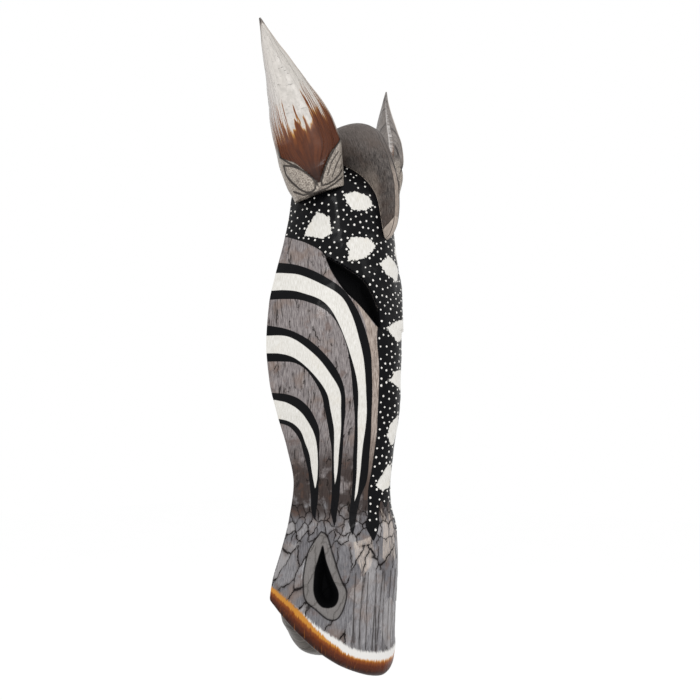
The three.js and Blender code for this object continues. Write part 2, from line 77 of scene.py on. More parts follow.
LIP_CURVE = 1.7
LIP_BLEND_TOP = 121
LIP_ROLL = 5
FRONT_COLUMNS = 232
BACK_COLUMNS = 12
ROLL_ROWS = 7
BODY_ROWS = 318
UNDER_ROWS = 7
CROWN_ROWS = 5


def smooth_curve(stations):
    """A curve through (place, value) stations that never swings past them."""
    place = np.array([station[0] for station in stations], float)
    value = np.array([station[1] for station in stations], float)
    slope = np.diff(value) / np.diff(place)
    tangent = np.zeros_like(value)
    tangent[0], tangent[-1] = slope[0], slope[-1]
    before, after = slope[:-1], slope[1:]
    rising = before * after > 0
    tangent[1:-1] = np.where(rising, 2 * before * after / np.where(rising, before + after, 1), 0)

    def at(x):
        x = np.clip(x, place[0], place[-1])
        i = np.clip(np.searchsorted(place, x, side="right") - 1, 0, len(place) - 2)
        span = place[i + 1] - place[i]
        t = (x - place[i]) / span
        rise = t * t * (3 - 2 * t)
        bend = tangent[i] * t * (1 - t) ** 2 - tangent[i + 1] * t * t * (1 - t)
        return value[i] * (1 - rise) + value[i + 1] * rise + span * bend

    return at


def ease(x, start=0.0, end=1.0):
    """0 before start, 1 after end, and a smooth rise between them."""
    t = np.clip((x - start) / (end - start), 0, 1)
    return t * t * (3 - 2 * t)


half_width, ridge_depth = smooth_curve(HALF_WIDTH), smooth_curve(RIDGE_DEPTH)
band_half, band_crown = smooth_curve(BAND_HALF), smooth_curve(BAND_CROWN)
cheek_bulge = smooth_curve(CHEEK_BULGE)


def head_surface(side, height):
    """Points of the smooth blank, as an array of x, y and height in mm."""
    share = np.abs(side)
    band, crown = band_half(height), band_crown(height)
    shoulder = ridge_depth(height) - crown
    over = np.clip(share / BAND_SHARE, 0, 1)
    down = np.clip((share - BAND_SHARE) / (1 - BAND_SHARE), 0, 1)
    chord = half_width(height) - band
    bulge = cheek_bulge(height) * 4 * down * (1 - down) * (1.15 - 0.3 * down) / np.hypot(chord, shoulder)
    on_band = share <= BAND_SHARE
    x = np.where(on_band, band * over, band + chord * down + shoulder * bulge)
    y = np.where(on_band, -shoulder - crown * (1 - over ** 2), -shoulder * (1 - down) - chord * bulge)
    rise = np.clip((height - DOME_START) / (HEAD_TOP - DOME_START), 0, 1)
    shrink = np.sqrt(1 - 0.9 * rise ** 2.4)
    y = np.where(y < -DOME_DEPTH, -DOME_DEPTH + (y + DOME_DEPTH) * shrink, y)
    return np.stack([np.sign(side) * x * shrink, y, height + 0 * x], -1)


def head_normal(side, height):
    """Outward directions of the blank."""
    side = np.clip(side, -0.995, 0.995)
    across = head_surface(side + 0.004, height) - head_surface(side - 0.004, height)
    up = head_surface(side, height + 1) - head_surface(side, height - 1)
    out = np.cross(across, up)
    return out / np.maximum(np.linalg.norm(out, axis=-1, keepdims=True), 1e-9)


def lip_height(side):
    """Height of the slanted lip's lower edge."""
    return LIP_LOW + LIP_LIFT * np.abs(side) ** LIP_CURVE


def row_height(row, side):
    """Rows start along the slanted lip and level out higher up the muzzle."""
    low = lip_height(side)
    return np.where(row < LIP_BLEND_TOP, low + (LIP_BLEND_TOP - low) * row / LIP_BLEND_TOP, row)


# Distances over the skin: how far a place is from the ridge, measured round the blank.
SKIN_SIDES = np.linspace(0, 1, 101)
SKIN_HEIGHTS = np.arange(-4, HEAD_TOP + 1, 2.0)
skin = head_surface(SKIN_SIDES[None, :], SKIN_HEIGHTS[:, None])
skin_steps = np.linalg.norm(np.diff(skin[:, :, :2], axis=1), axis=-1)
skin_across = np.concatenate([np.zeros((len(SKIN_HEIGHTS), 1)), np.cumsum(skin_steps, axis=1)], axis=1)


def unroll(side, height):
    """Millimetres round the skin from the ridge, always positive, and the height."""
    side, height = np.broadcast_arrays(np.asarray(side, float), np.asarray(height, float))
    share = np.clip(np.abs(side), 0, 1) * (len(SKIN_SIDES) - 1)
    row = (np.clip(height, SKIN_HEIGHTS[0], SKIN_HEIGHTS[-1]) - SKIN_HEIGHTS[0]) / 2
    i = np.minimum(share.astype(int), len(SKIN_SIDES) - 2)
    j = np.minimum(row.astype(int), len(SKIN_HEIGHTS) - 2)
    s, r = share - i, row - j
    low = skin_across[j, i] * (1 - s) + skin_across[j, i + 1] * s
    high = skin_across[j + 1, i] * (1 - s) + skin_across[j + 1, i + 1] * s
    across = (low * (1 - r) + high * r) * np.maximum(np.abs(side), 1)
    return np.stack([across, height], -1)


STROKE_STEPS = 8


def outline(corners):
    """Corners (side, height) in skin millimetres, signed across the ridge."""
    places = unroll([p[0] for p in corners], [p[1] for p in corners])
    places[:, 0] *= np.sign([p[0] if p[0] else 1 for p in corners])
    return places


def stroke(corners):
    """A hand-drawn line through (side, height) corners, smoothed, in skin millimetres."""
    knots = outline(corners)
    steps = np.linspace(0, 1, STROKE_STEPS, endpoint=False)[:, None]
    ends = np.vstack([2 * knots[0] - knots[1], knots, 2 * knots[-1] - knots[-2]])
    line = []
    for a, b, c, d in zip(ends, ends[1:], ends[2:], ends[3:]):
        line.append(b + 0.5 * steps * (c - a + steps * (2 * a - 5 * b + 4 * c - d
                                                        + steps * (3 * (b - c) + d - a))))
    return np.vstack(line + [knots[-1:]])


def line_distance(places, line, closed=False):
    """Distance of each place to a line, and whether a closed line goes round it."""
    starts, ends = line[:-1], line[1:]
    if closed:
        starts, ends = line, np.roll(line, -1, axis=0)
    nearest = np.full(len(places), 1e9)
    inside = np.zeros(len(places), bool)
    for a, b in zip(starts, ends):
        span = b - a
        t = np.clip(((places - a) @ span) / max(span @ span, 1e-9), 0, 1)
        gap = places - a - t[:, None] * span
        nearest = np.minimum(nearest, (gap ** 2).sum(1))
        crosses = (a[1] > places[:, 1]) != (b[1] > places[:, 1])
        slant = span[0] * (places[:, 1] - a[1]) / (span[1] if abs(span[1]) > 1e-9 else 1e-9) + a[0]
        inside ^= crosses & (places[:, 0] < slant)
    return np.sqrt(nearest), inside


def within(places, *strokes):
    """Signed distance to the closed outline that the strokes make: positive inside."""
    gap, inside = line_distance(places, np.vstack(strokes), closed=True)
    return np.where(inside, gap, -gap)


# ---------------------------------------------------------------- carved details of the head
# Two slit eyes are cut deep under an overhanging brow, two nostrils are hollowed inside a raised
# almond rim, and the lip is a band that stands a little proud of the muzzle.
EYE_UPPER = [(0.605, 318), (0.53, 313.5), (0.45, 308), (0.34, 298.6), (0.27, 287.3), (0.23, 275.7),
             (0.225, 262)]
EYE_LOWER = [(0.225, 262), (0.26, 263.8), (0.32, 270), (0.39, 280.3), (0.47, 290.3), (0.55, 304.8),
             (0.605, 318)]
EYE_DEPTH = 8
BROW_LIFT = 1.6
NOSTRIL = [(0.61, 96), (0.62, 86), (0.625, 77), (0.61, 62.8), (0.55, 54), (0.47, 53), (0.43, 57),
           (0.43, 64), (0.48, 73), (0.55, 84.2), (0.59, 92), (0.61, 96)]
NOSTRIL_RIM = [(0.66, 106), (0.705, 98), (0.73, 90), (0.725, 78), (0.71, 68.2), (0.68, 57.6), (0.59, 51),
               (0.49, 44), (0.42, 44.5), (0.375, 52), (0.36, 62.4), (0.4, 70), (0.44, 77),
               (0.52, 90.6), (0.6, 103), (0.66, 106)]
NOSTRIL_DEPTH = 11
RIM_LIFT = 1.5
LIP_BORDER = [(0, 17.6), (0.06, 17.7), (0.19, 19.1), (0.28, 21.3), (0.41, 29.4), (0.58, 39.9),
              (0.71, 49.5), (0.82, 56.8), (0.98, 64.8), (1, 65.5)]
LIP_LIFT_PROUD = 0.8
lip_border = smooth_curve(LIP_BORDER)


def chisel(points, waves, seed, reach):
    """Soft uneven tool marks: a sum of random waves of about that many mm."""
    random = np.random.default_rng(seed)
    total = np.zeros(points.shape[:-1])
    for _ in range(waves):
        direction = random.normal(size=3)
        direction /= np.linalg.norm(direction)
        length = reach * random.uniform(0.6, 1.6)
        total += np.sin(points @ direction * 2 * np.pi / length + random.uniform(0, 6.3))
    return total / math.sqrt(waves)


def carving(side, height):
    """How far the carved skin stands out from the blank, in mm."""
    places = unroll(side, height).reshape(-1, 2)
    upper, lower = stroke(EYE_UPPER), stroke(EYE_LOWER)
    eye = within(places, upper[:-1], lower[:-1])
    from_brow, _ = line_distance(places, upper)
    from_cheek, _ = line_distance(places, lower)
    floor = from_cheek / np.maximum(from_brow + from_cheek, 0.1)
    lift = -EYE_DEPTH * ease(eye, -0.2, 1.6) * (0.25 + 0.75 * floor)
    brow_side = (eye < 0) & (from_brow < from_cheek)
    lift += np.where(brow_side, BROW_LIFT * (1 - ease(from_brow, 1, 15)), 0)
    nostril = within(places, stroke(NOSTRIL)[:-1])
    rim = within(places, stroke(NOSTRIL_RIM)[:-1])
    lift += RIM_LIFT * ease(rim, -0.3, 1.6) * (1 - ease(nostril, -0.6, 0.8))
    lift -= 0.7 * (1 - ease(np.abs(rim + 0.5), 0.4, 2.2))
    lift -= NOSTRIL_DEPTH * ease(nostril, -0.4, 5.5)
    below_border = lip_border(np.abs(side)).ravel() - places[:, 1]
    lift += LIP_LIFT_PROUD * ease(below_border, -0.5, 0.8)
    marks = 0.22 * chisel(head_surface(side, height).reshape(-1, 3), 9, 4, 34)
    marks += 0.1 * chisel(head_surface(side, height).reshape(-1, 3), 9, 5, 11)
    return (lift + marks).reshape(np.shape(side))


def select_only(obj):
    """Makes a piece the only one selected, and the active one."""
    bpy.ops.object.select_all(action="DESELECT")
    obj.select_set(True)
    bpy.context.view_layer.objects.active = obj


def read_points(mesh):
    """A mesh's points as an array."""
    points = np.zeros(len(mesh.vertices) * 3, np.float32)
    mesh.vertices.foreach_get("co", points)
    return points.reshape(-1, 3).astype(float)


def write_points(mesh, points):
    mesh.vertices.foreach_set("co", np.asarray(points, np.float32).ravel())
    mesh.update()


def close_up(obj, gap=1e-5):
    """Merges doubled points and points every face outwards."""
    select_only(obj)
    bpy.ops.object.mode_set(mode="EDIT")
    bpy.ops.mesh.select_all(action="SELECT")
    bpy.ops.mesh.remove_doubles(threshold=gap)
    bpy.ops.mesh.dissolve_degenerate(threshold=1e-7)
    bpy.ops.mesh.normals_make_consistent(inside=False)
    bpy.ops.object.mode_set(mode="OBJECT")


def add_grid(name, columns, rows):
    """A flat grid with that many faces each way, with each point's column and row."""
    bpy.ops.object.select_all(action="DESELECT")
    bpy.ops.mesh.primitive_grid_add(x_subdivisions=columns, y_subdivisions=rows, size=2)
    obj = bpy.context.object
    obj.name = obj.data.name = name
    places = read_points(obj.data)
    column = np.rint((places[:, 0] + 1) / 2 * columns)
    row = np.rint((places[:, 1] + 1) / 2 * rows)
    return obj, column, row


def set_values(mesh, name, values):
    """Gives a mesh an attribute with a number or a vector at each point."""
    kind = "FLOAT" if np.ndim(values) == 1 else "FLOAT_VECTOR"
    attribute = mesh.attributes.new(name, kind, "POINT")
    key = "value" if kind == "FLOAT" else "vector"
    attribute.data.foreach_set(key, np.asarray(values, np.float32).ravel())


head_columns = FRONT_COLUMNS + BACK_COLUMNS
head_rows = UNDER_ROWS + ROLL_ROWS + BODY_ROWS + CROWN_ROWS
head, column, row = add_grid("zebra_head", head_columns, head_rows)

# Front columns go round the face, and back columns return across the flat back.
on_front = column <= FRONT_COLUMNS
returning = 1 - 2 * (column - FRONT_COLUMNS) / BACK_COLUMNS
side = np.where(on_front, 2 * column / FRONT_COLUMNS - 1, returning)
edge = np.where(on_front, side, 1.0)
roll = np.clip((UNDER_ROWS + ROLL_ROWS - row) / ROLL_ROWS, 0, 1) * math.pi / 2
body = np.clip((row - UNDER_ROWS - ROLL_ROWS) / BODY_ROWS, 0, 1)
level = np.where(roll > 0, LIP_ROLL * (1 - np.sin(roll)), LIP_ROLL + (HEAD_TOP - LIP_ROLL) * body)
height = row_height(level, edge)
points = head_surface(edge, height)
points += (carving(edge, height) * ease(1 - np.abs(edge), 0, 0.01))[:, None] * head_normal(edge, height)
points[:, 0] = np.where(on_front, points[:, 0], points[:, 0] * side)
tuck = 1 - np.cos(roll)
points[:, 0] *= 1 - 0.1 * tuck
points[:, 1] *= 1 - 0.07 * tuck
UNDER_HUB_HEIGHT = 19.0
hubs = ((0, UNDER_ROWS, UNDER_HUB_HEIGHT), (head_rows, head_rows - CROWN_ROWS, HEAD_TOP))
for first, last, hub_height in hubs:
    closing = (row < last) if first == 0 else (row > last)
    way = np.abs(row - last) / abs(first - last)
    ring = {int(c): points[i] for i, c in zip(np.flatnonzero(row == last), column[row == last])}
    target = np.array([ring[int(c)] for c in column])
    hub = np.array([0, np.mean([p[1] for p in ring.values()]), hub_height])
    points = np.where(closing[:, None], target + (hub - target) * way[:, None], points)
side_values = np.where(on_front, edge, 1.0)
heights = height.copy()
write_points(head.data, (points - [0, 0, BACK_POINT_HEIGHT]) * MM)

# ---------------------------------------------------------------- what is painted where
# Each cheek carries three arches, black edged with white inside, that run down into points on the
# muzzle. The brow and ridge are black for the white dots, with loose white patches between them.
FAR = 1.02
# Each arch is the outline up its outer edge and the outline back down its inner edge.
BLACK_ARCHES = [
    ([(FAR, 316.5), (0.85, 313), (0.7, 307), (0.57, 299), (0.47, 290), (0.4, 275.5), (0.36, 259.5),
     (0.33, 244), (0.32, 229), (0.32, 195), (0.32, 160), (0.33, 144), (0.37, 133.5), (0.372, 124),
     (0.376, 115), (0.392, 103)],
     [(0.392, 103), (0.422, 112), (0.44, 122), (0.448, 133), (0.452, 147), (0.45, 168), (0.44, 190.5),
      (0.45, 212), (0.46, 230), (0.49, 251), (0.58, 272), (0.74, 282), (0.88, 284.5), (FAR, 285)]),
    ([(FAR, 264.8), (0.85, 260), (0.71, 251), (0.6, 238), (0.53, 225), (0.5, 212), (0.5, 198),
     (0.52, 183), (0.53, 168), (0.55, 152.5), (0.555, 137), (0.542, 122), (0.55, 109.5)],
     [(0.55, 109.5), (0.6, 121), (0.626, 137), (0.63, 152.4), (0.62, 167.8), (0.63, 183), (0.64, 198),
      (0.66, 212), (0.73, 227), (0.81, 234), (0.9, 235.5), (FAR, 236)]),
    ([(FAR, 212), (0.97, 211.7), (0.9, 210.8), (0.82, 207.5), (0.76, 201.4), (0.72, 193), (0.7, 183),
     (0.72, 168), (0.74, 152), (0.75, 140.6), (0.74, 127), (0.73, 113.5)],
     [(0.73, 113.5), (0.785, 121), (0.818, 132), (0.84, 144), (0.85, 156), (0.86, 166), (0.87, 175.5),
      (0.92, 184.8), (0.98, 187.9), (FAR, 188)]),
]
WHITE_ARCHES = [
    ([(FAR, 307.5), (0.9, 306), (0.79, 303.6), (0.64, 296), (0.5, 286), (0.44, 272), (0.4, 252),
     (0.375, 235), (0.365, 212), (0.36, 194.5), (0.38, 174.7), (0.39, 152.6), (0.4, 137.4),
     (0.412, 128.4)],
     [(0.412, 128.4), (0.42, 145), (0.42, 168), (0.42, 190.5), (0.415, 212), (0.44, 232), (0.52, 262.7),
      (0.61, 280.7), (0.78, 289.4), (0.9, 292), (FAR, 292.5)]),
    ([(FAR, 256.3), (0.84, 254), (0.68, 240), (0.58, 224), (0.53, 211.8), (0.53, 198.2), (0.54, 183),
     (0.56, 167.8), (0.58, 152.4), (0.6, 140)],
     [(0.6, 140), (0.61, 152.4), (0.6, 167.8), (0.59, 183), (0.6, 198), (0.62, 211.8), (0.7, 226),
      (0.8, 237), (0.9, 241.5), (FAR, 242.5)]),
    ([(FAR, 206.8), (0.99, 206.4), (0.9, 203.9), (0.82, 197.7), (0.77, 188.5), (0.74, 177.8),
     (0.74, 164), (0.76, 148), (0.778, 136.5)],
     [(0.778, 136.5), (0.81, 152), (0.81, 163.8), (0.83, 174), (0.85, 183), (0.91, 189.4),
      (0.99, 191.8), (FAR, 192)]),
]
# The beige strip beside the ridge. Its upper end runs round the eye's inner corner along the brow's edge
# and the lower lid, and there it is a painted highlight on those carved edges.
STRIP_AND_EYE_HIGHLIGHT = ([(0.43, 290), (0.385, 276), (0.355, 262), (0.35, 244), (0.342, 212), (0.34, 194.5), (0.342, 174.7),
          (0.345, 156), (0.345, 145), (0.34, 130)],
         [(0.3, 130), (0.285, 146.5), (0.268, 160), (0.258, 180), (0.252, 198), (0.248, 216), (0.246, 234),
          (0.262, 252), (0.245, 262), (0.205, 270), (0.195, 279), (0.228, 289), (0.3, 299), (0.34, 300),
          (0.275, 289), (0.235, 278), (0.232, 266), (0.28, 264), (0.35, 276)])
PAST_EDGE = 1.06
BROW_SIDE_HEIGHTS = (402, 396, 390, 384, 376, 368, 360, 352, 345, 338.8)
BROW_TOP = [(-0.3, 402)] + [(PAST_EDGE, level) for level in BROW_SIDE_HEIGHTS]
BROW_EDGE = [(0.98, 338.3), (0.88, 334.5), (0.78, 330.6), (0.65, 323.4), (0.605, 318)]
RIDGE_EDGE = [(0.245, 262), (0.262, 252), (0.246, 234), (0.248, 216), (0.252, 198), (0.258, 180),
              (0.272, 160), (0.285, 148), (0.303, 136), (0.272, 119), (0.293, 111), (0.24, 103),
              (0.207, 99.5)]
RIDGE_WEDGE = [(0.207, 99.5), (0.17, 107), (0.145, 114), (0.1, 128.5), (0.04, 125.5), (0, 124), (-0.3, 124)]
# Loose patches, as corners (side, height). Those on the brow are painted on both sides, and those
# along the ridge once.
BROW_PATCHES = [
    [(0.433, 368.3), (0.343, 371.3), (0.213, 368.8), (0.163, 361.1), (0.258, 356.1), (0.367, 355.3),
     (0.416, 361.8)],
    [(0.676, 354.9), (0.767, 343.2), (0.79, 336.4), (0.634, 332.3), (0.543, 336.1), (0.56, 350)],
    [(0.393, 333.3), (0.435, 326.7), (0.415, 323.4), (0.435, 313.4), (0.358, 314.4), (0.26, 318.4),
     (0.165, 327.9), (0.251, 333.6)],
]
RIDGE_PATCHES = [
    [(-0.002, 321.8), (-0.153, 313.3), (-0.073, 306.1), (0.14, 301.2), (0.257, 313.9), (0.088, 319.8)],
    [(0.189, 271.9), (0.02, 268), (-0.14, 262.2), (-0.063, 257.6), (0.044, 251.8), (0.199, 254.8),
     (0.29, 263)],
    [(0.222, 231.5), (-0.048, 228.8), (-0.048, 223.8), (-0.144, 221.7), (0.03, 217.5), (0.194, 214),
     (0.3, 223)],
    [(0.13, 195), (-0.06, 188), (-0.1, 179), (0.02, 171), (0.16, 173), (0.27, 184)],
    [(-0.01, 156.8), (-0.066, 151.4), (-0.154, 143.8), (-0.21, 141.3), (-0.068, 136.1), (0.16, 140),
     (0.25, 149.7), (0.13, 156)],
]
# Pale cream places: a slab under the longest arch's tip, which is a painted highlight where lamp
# light glares on the varnish, and a plank that starts in the fork of the dotted band, where the
# ground coat is rubbed through to cream.
CREAM_HIGHLIGHT = [(0.378, 99.5), (0.3, 101), (0.234, 103.5), (0.199, 93.5), (0.207, 82.1), (0.258, 74.4),
         (0.331, 87.2)]
FORK_PLANK = [(0.1, 124), (0.105, 112), (0.107, 87), (0.06, 83.3), (0.0, 90), (0.0, 112)]


def painted(side, height):
    """Signed distances in mm to the edges of all that is painted or cut on the head."""
    places = unroll(side, height)
    across = places[:, 0] * np.sign(side)
    black = np.max([within(places, *map(stroke, arch)) for arch in BLACK_ARCHES], axis=0)
    white = np.max([within(places, *map(stroke, arch)) for arch in WHITE_ARCHES], axis=0)
    over_eye = stroke(EYE_UPPER)[STROKE_STEPS:-STROKE_STEPS]
    brow = within(places, outline(BROW_TOP), stroke(BROW_EDGE), over_eye, stroke(RIDGE_EDGE),
                  stroke(RIDGE_WEDGE))
    signed = np.stack([across, places[:, 1]], -1)
    patches = [within(places, outline(corners)) for corners in BROW_PATCHES]
    patches = np.max(patches + [within(signed, outline(corners)) for corners in RIDGE_PATCHES], axis=0)
    border, low = lip_border(np.abs(side)), lip_height(side)
    return {
        "skin_place": np.stack([across / 10, places[:, 1] / 10, 0 * across], -1),
        "arch_black": black,
        "arch_white": white,
        # The beige strip, whose upper end round the eye is a painted highlight.
        "strip_and_eye_highlight": within(places, *map(stroke, STRIP_AND_EYE_HIGHLIGHT)),
        "brow": brow,
        "patches": patches,
        # The slab is a painted highlight; the plank by the ridge is rubbed through to cream.
        "cream_highlight_and_plank": np.maximum(within(places, outline(CREAM_HIGHLIGHT)), within(places, outline(FORK_PLANK))),
        "eye": within(places, stroke(EYE_UPPER)[:-1], stroke(EYE_LOWER)[:-1]),
        "nostril": within(places, stroke(NOSTRIL)[:-1]),
        "rim": within(places, stroke(NOSTRIL_RIM)[:-1]),
        "lip_fall": (border - height) / (border - low + LIP_ROLL * 0.3),
        "share": np.abs(side),
    }


for name, values in painted(side_values, heights).items():
    set_values(head.data, name, values)
close_up(head)

# ---------------------------------------------------------------- chin, hollow back and sockets
# The chin is carved in one with the head and bulges under the slanted lip. The back is hollowed
# with a gouge to stop the block splitting, and holds a recess for the hanger and drilled sockets.
CHIN = [(8.5, 12, 8), (10.5, 24, 14), (14.5, 33, 20), (20, 38.5, 24), (30, 45, 29), (40, 51, 33),
        (52, 54, 34), (58, 50, 26), (64, 42, 17)]
CHIN_OVAL_DEPTH = 14
CHIN_COLUMNS = 96
CHIN_ROWS = 44
HOLLOW_CENTRE = 222
HOLLOW_HALF_HEIGHT = 66
HOLLOW_HALF_WIDTH = 28
HOLLOW_FLOOR = [(2, 1), (-8, 1), (-24, 0.93), (-36, 0.8), (-43, 0.58), (-45, 0.3)]
HOLLOW_COLUMNS = 110
HOLLOW_ROWS = 40
EAR_FOOT = np.array([38.0, -27, 374])
EAR_TIP = np.array([86.0, -8, 506])
EAR_FACING = np.array([0.72, -0.69, 0])
PLAY = 0.35
EAR_PEG_RADIUS, EAR_PEG_LENGTH = 5, 40
FORELOCK_PEG_RADIUS, FORELOCK_PEG_LENGTH = 4, 26
FORELOCK_PEG_HEIGHTS = {"lower": 357, "upper": 381}
FORELOCK_PEG_SINK = 6
RECESS_LOW, RECESS_HIGH, RECESS_HALF, RECESS_DEPTH, RECESS_CORNER = 320, 379, 13, 6.5, 6
RING_AXIS_HEIGHT = 360
SCREW_DROPS = {"upper": 19, "lower": 29}
SCREW_RADIUS, SCREW_LENGTH = 1.5, 15


def row_frame(points):
    """Millimetres with heights from the lip, as metres in the shared frame."""
    return (np.asarray(points, float) - [0, 0, BACK_POINT_HEIGHT]) * MM


def lofted(name, columns, rows, shape):
    """A closed body wrapped round from a grid: shape(turn, share) gives its points in mm."""
    obj, column, row = add_grid(name, columns, rows)
    turn, share = column / columns * 2 * np.pi, row / rows
    made = shape(turn, share)
    for end in (0, rows):
        made[row == end] = made[row == end].mean(axis=0)
    write_points(obj.data, row_frame(made))
    close_up(obj)
    return obj


def along_stations(stations, share):
    """Values at an even share of the way through stations."""
    table = np.array(stations, float)
    count = np.linspace(0, 1, len(table))
    return [smooth_curve(list(zip(count, table[:, i])))(share) for i in range(table.shape[1])]


def chin_shape(turn, share):
    """The chin's half oval, with its flat side against the back plane."""
    tall, half, deep = along_stations([(7.6, 1, 1)] + CHIN + [(64, 1, 1)], share)
    y = np.minimum(np.sin(turn) * deep - CHIN_OVAL_DEPTH, 0)
    made = np.stack([np.cos(turn) * half, y, tall], -1)
    return made * (1 + 0.012 * chisel(made, 8, 21, 22))[:, None]


def hollow_shape(turn, share):
    """A gouged bowl that is rounder than an oval and wider towards the brow."""
    deep, scale = along_stations([(2, 0.01)] + HOLLOW_FLOOR + [(-45, 0.01)], share)
    across = np.sign(np.cos(turn)) * np.abs(np.cos(turn)) ** 0.77
    up = np.sign(np.sin(turn)) * np.abs(np.sin(turn)) ** 0.77
    half = HOLLOW_HALF_WIDTH * (1 + 0.35 * up) * scale
    height = HOLLOW_CENTRE + up * HOLLOW_HALF_HEIGHT * (0.4 + 0.6 * scale)
    made = np.stack([across * half, deep, height], -1)
    gouges = np.abs(np.sin(made[:, 2] * 0.42 + 0.8 * np.sin(made[:, 0] * 0.25))) - 0.6
    inner = ease(-deep, 3, 12)
    made[:, 1] += gouges * inner * 1.1
    made[:, 0] *= 1 + 0.02 * inner * chisel(made, 6, 31, 14)
    return made


def add_round(name, start, end, radius, sides=32):
    """A round bar between two points given in mm."""
    start, end = Vector(row_frame(start)), Vector(row_frame(end))
    bpy.ops.object.select_all(action="DESELECT")
    bpy.ops.mesh.primitive_cylinder_add(vertices=sides, radius=radius * MM, depth=(end - start).length,
                                        location=(start + end) / 2,
                                        rotation=(end - start).to_track_quat("Z", "Y").to_euler())
    obj = bpy.context.object
    obj.name = obj.data.name = name
    bpy.ops.object.transform_apply(location=True, rotation=True, scale=True)
    return obj


def add_box(name, middle, size):
    """A box round its middle, in mm."""
    bpy.ops.object.select_all(action="DESELECT")
    bpy.ops.mesh.primitive_cube_add(size=1, location=row_frame(middle))
    obj = bpy.context.object
    obj.name = obj.data.name = name
    obj.scale = [length * MM for length in size]
    bpy.ops.object.transform_apply(location=True, rotation=True, scale=True)
    return obj


def round_corners(box, radius, segments, below=1000):
    """Rounds those edges of a new box that run from front to back under a height, in mm."""
    limit = row_frame([0, 0, below])[2]
    for box_edge in box.data.edges:
        a, b = (box.data.vertices[i].co for i in box_edge.vertices)
        box_edge.select = bool(max(a.z, b.z) < limit and abs(a.y - b.y) > 1e-4)
    bpy.ops.object.mode_set(mode="EDIT")
    bpy.ops.mesh.select_mode(type="EDGE")
    bpy.ops.mesh.bevel(offset=radius * MM, segments=segments)
    bpy.ops.object.mode_set(mode="OBJECT")


def surface_tree(mesh):
    """Finds the nearest place on a mesh."""
    return BVHTree.FromPolygons([v.co[:] for v in mesh.vertices], [f.vertices[:] for f in mesh.polygons])


def combine(obj, other, operation):
    """Cuts or joins other into obj, and takes other away."""
    select_only(obj)
    step = obj.modifiers.new("cut", "BOOLEAN")
    step.operation, step.object, step.solver = operation, other, "MANIFOLD"
    bpy.ops.object.modifier_apply(modifier=step.name)
    bpy.data.objects.remove(other)


def ear_axes(sign):
    """Foot of an ear and its directions: along the ear, out of its face, across and inward."""
    foot, tip = EAR_FOOT * [sign, 1, 1], EAR_TIP * [sign, 1, 1]
    length = np.linalg.norm(tip - foot)
    along = (tip - foot) / length
    facing = EAR_FACING * [sign, 1, 1]
    facing = facing - (facing @ along) * along
    facing = facing / np.linalg.norm(facing)
    across = np.cross(facing, along)
    inward = -across * sign * np.sign(across[0])
    return foot, length, along, facing, across, inward


def forelock_peg_ends(height, spare=0):
    """Front and back end of a peg that joins the forelock to the head."""
    middle = head_surface(np.array(0.0), np.array(float(height)))[1] + FORELOCK_PEG_SINK
    reach = FORELOCK_PEG_LENGTH / 2 + spare
    return (0, middle - reach, height), (0, middle + reach, height)


chin = lofted("chin_block", CHIN_COLUMNS, CHIN_ROWS, chin_shape)
outside = {name: np.full(len(chin.data.vertices), -99.0) for name in
           ("arch_black", "arch_white", "strip_and_eye_highlight", "brow", "patches", "eye", "nostril", "rim", "lip_fall")}
chin_points = read_points(chin.data) * 100
outside["skin_place"] = np.stack([chin_points[:, 0], chin_points[:, 2], 0 * chin_points[:, 0]], -1)
outside["share"] = np.full(len(chin.data.vertices), 2.0)
for name, values in outside.items():
    set_values(chin.data, name, values)
combine(head, chin, "UNION")

hollow = lofted("hollow_cutter", HOLLOW_COLUMNS, HOLLOW_ROWS, hollow_shape)
recess_middle = (0, 1 - RECESS_DEPTH / 2, (RECESS_LOW + RECESS_HIGH) / 2)
recess_size = (2 * RECESS_HALF, RECESS_DEPTH + 2, RECESS_HIGH - RECESS_LOW)
recess = add_box("recess_cutter", recess_middle, recess_size)
round_corners(recess, RECESS_CORNER, 8)
cutters = [hollow, recess]
for sign in (-1, 1):
    foot, _, along, _, _, _ = ear_axes(sign)
    reach = EAR_PEG_LENGTH / 2 + PLAY
    cutters.append(add_round("socket", foot - along * reach, foot + along * reach, EAR_PEG_RADIUS + PLAY))
for level in FORELOCK_PEG_HEIGHTS.values():
    cutters.append(add_round("socket", *forelock_peg_ends(level, PLAY), FORELOCK_PEG_RADIUS + PLAY))
for drop in SCREW_DROPS.values():
    level = RING_AXIS_HEIGHT - drop
    start, end = (0, -RECESS_DEPTH - SCREW_LENGTH - 1, level), (0, 1 - RECESS_DEPTH, level)
    cutters.append(add_round("socket", start, end, SCREW_RADIUS + PLAY, sides=24))
cut_trees = []
for cutter in cutters:
    cut_trees.append(surface_tree(cutter.data))
    combine(head, cutter, "DIFFERENCE")
close_up(head, gap=2e-6)

# ---------------------------------------------------------------- how finishes are mixed
# Every finish is brushed, rubbed or plated on in layers, so each material is worked out layer by
# layer: masks choose between colours, and fine noise gives grain, grime and brush marks.


def colour(code):
    """A colour from its #rrggbb code."""
    parts = [int(code[i:i + 2], 16) / 255 for i in (1, 3, 5)]
    return [p / 12.92 if p <= 0.04045 else ((p + 0.055) / 1.055) ** 2.4 for p in parts] + [1]


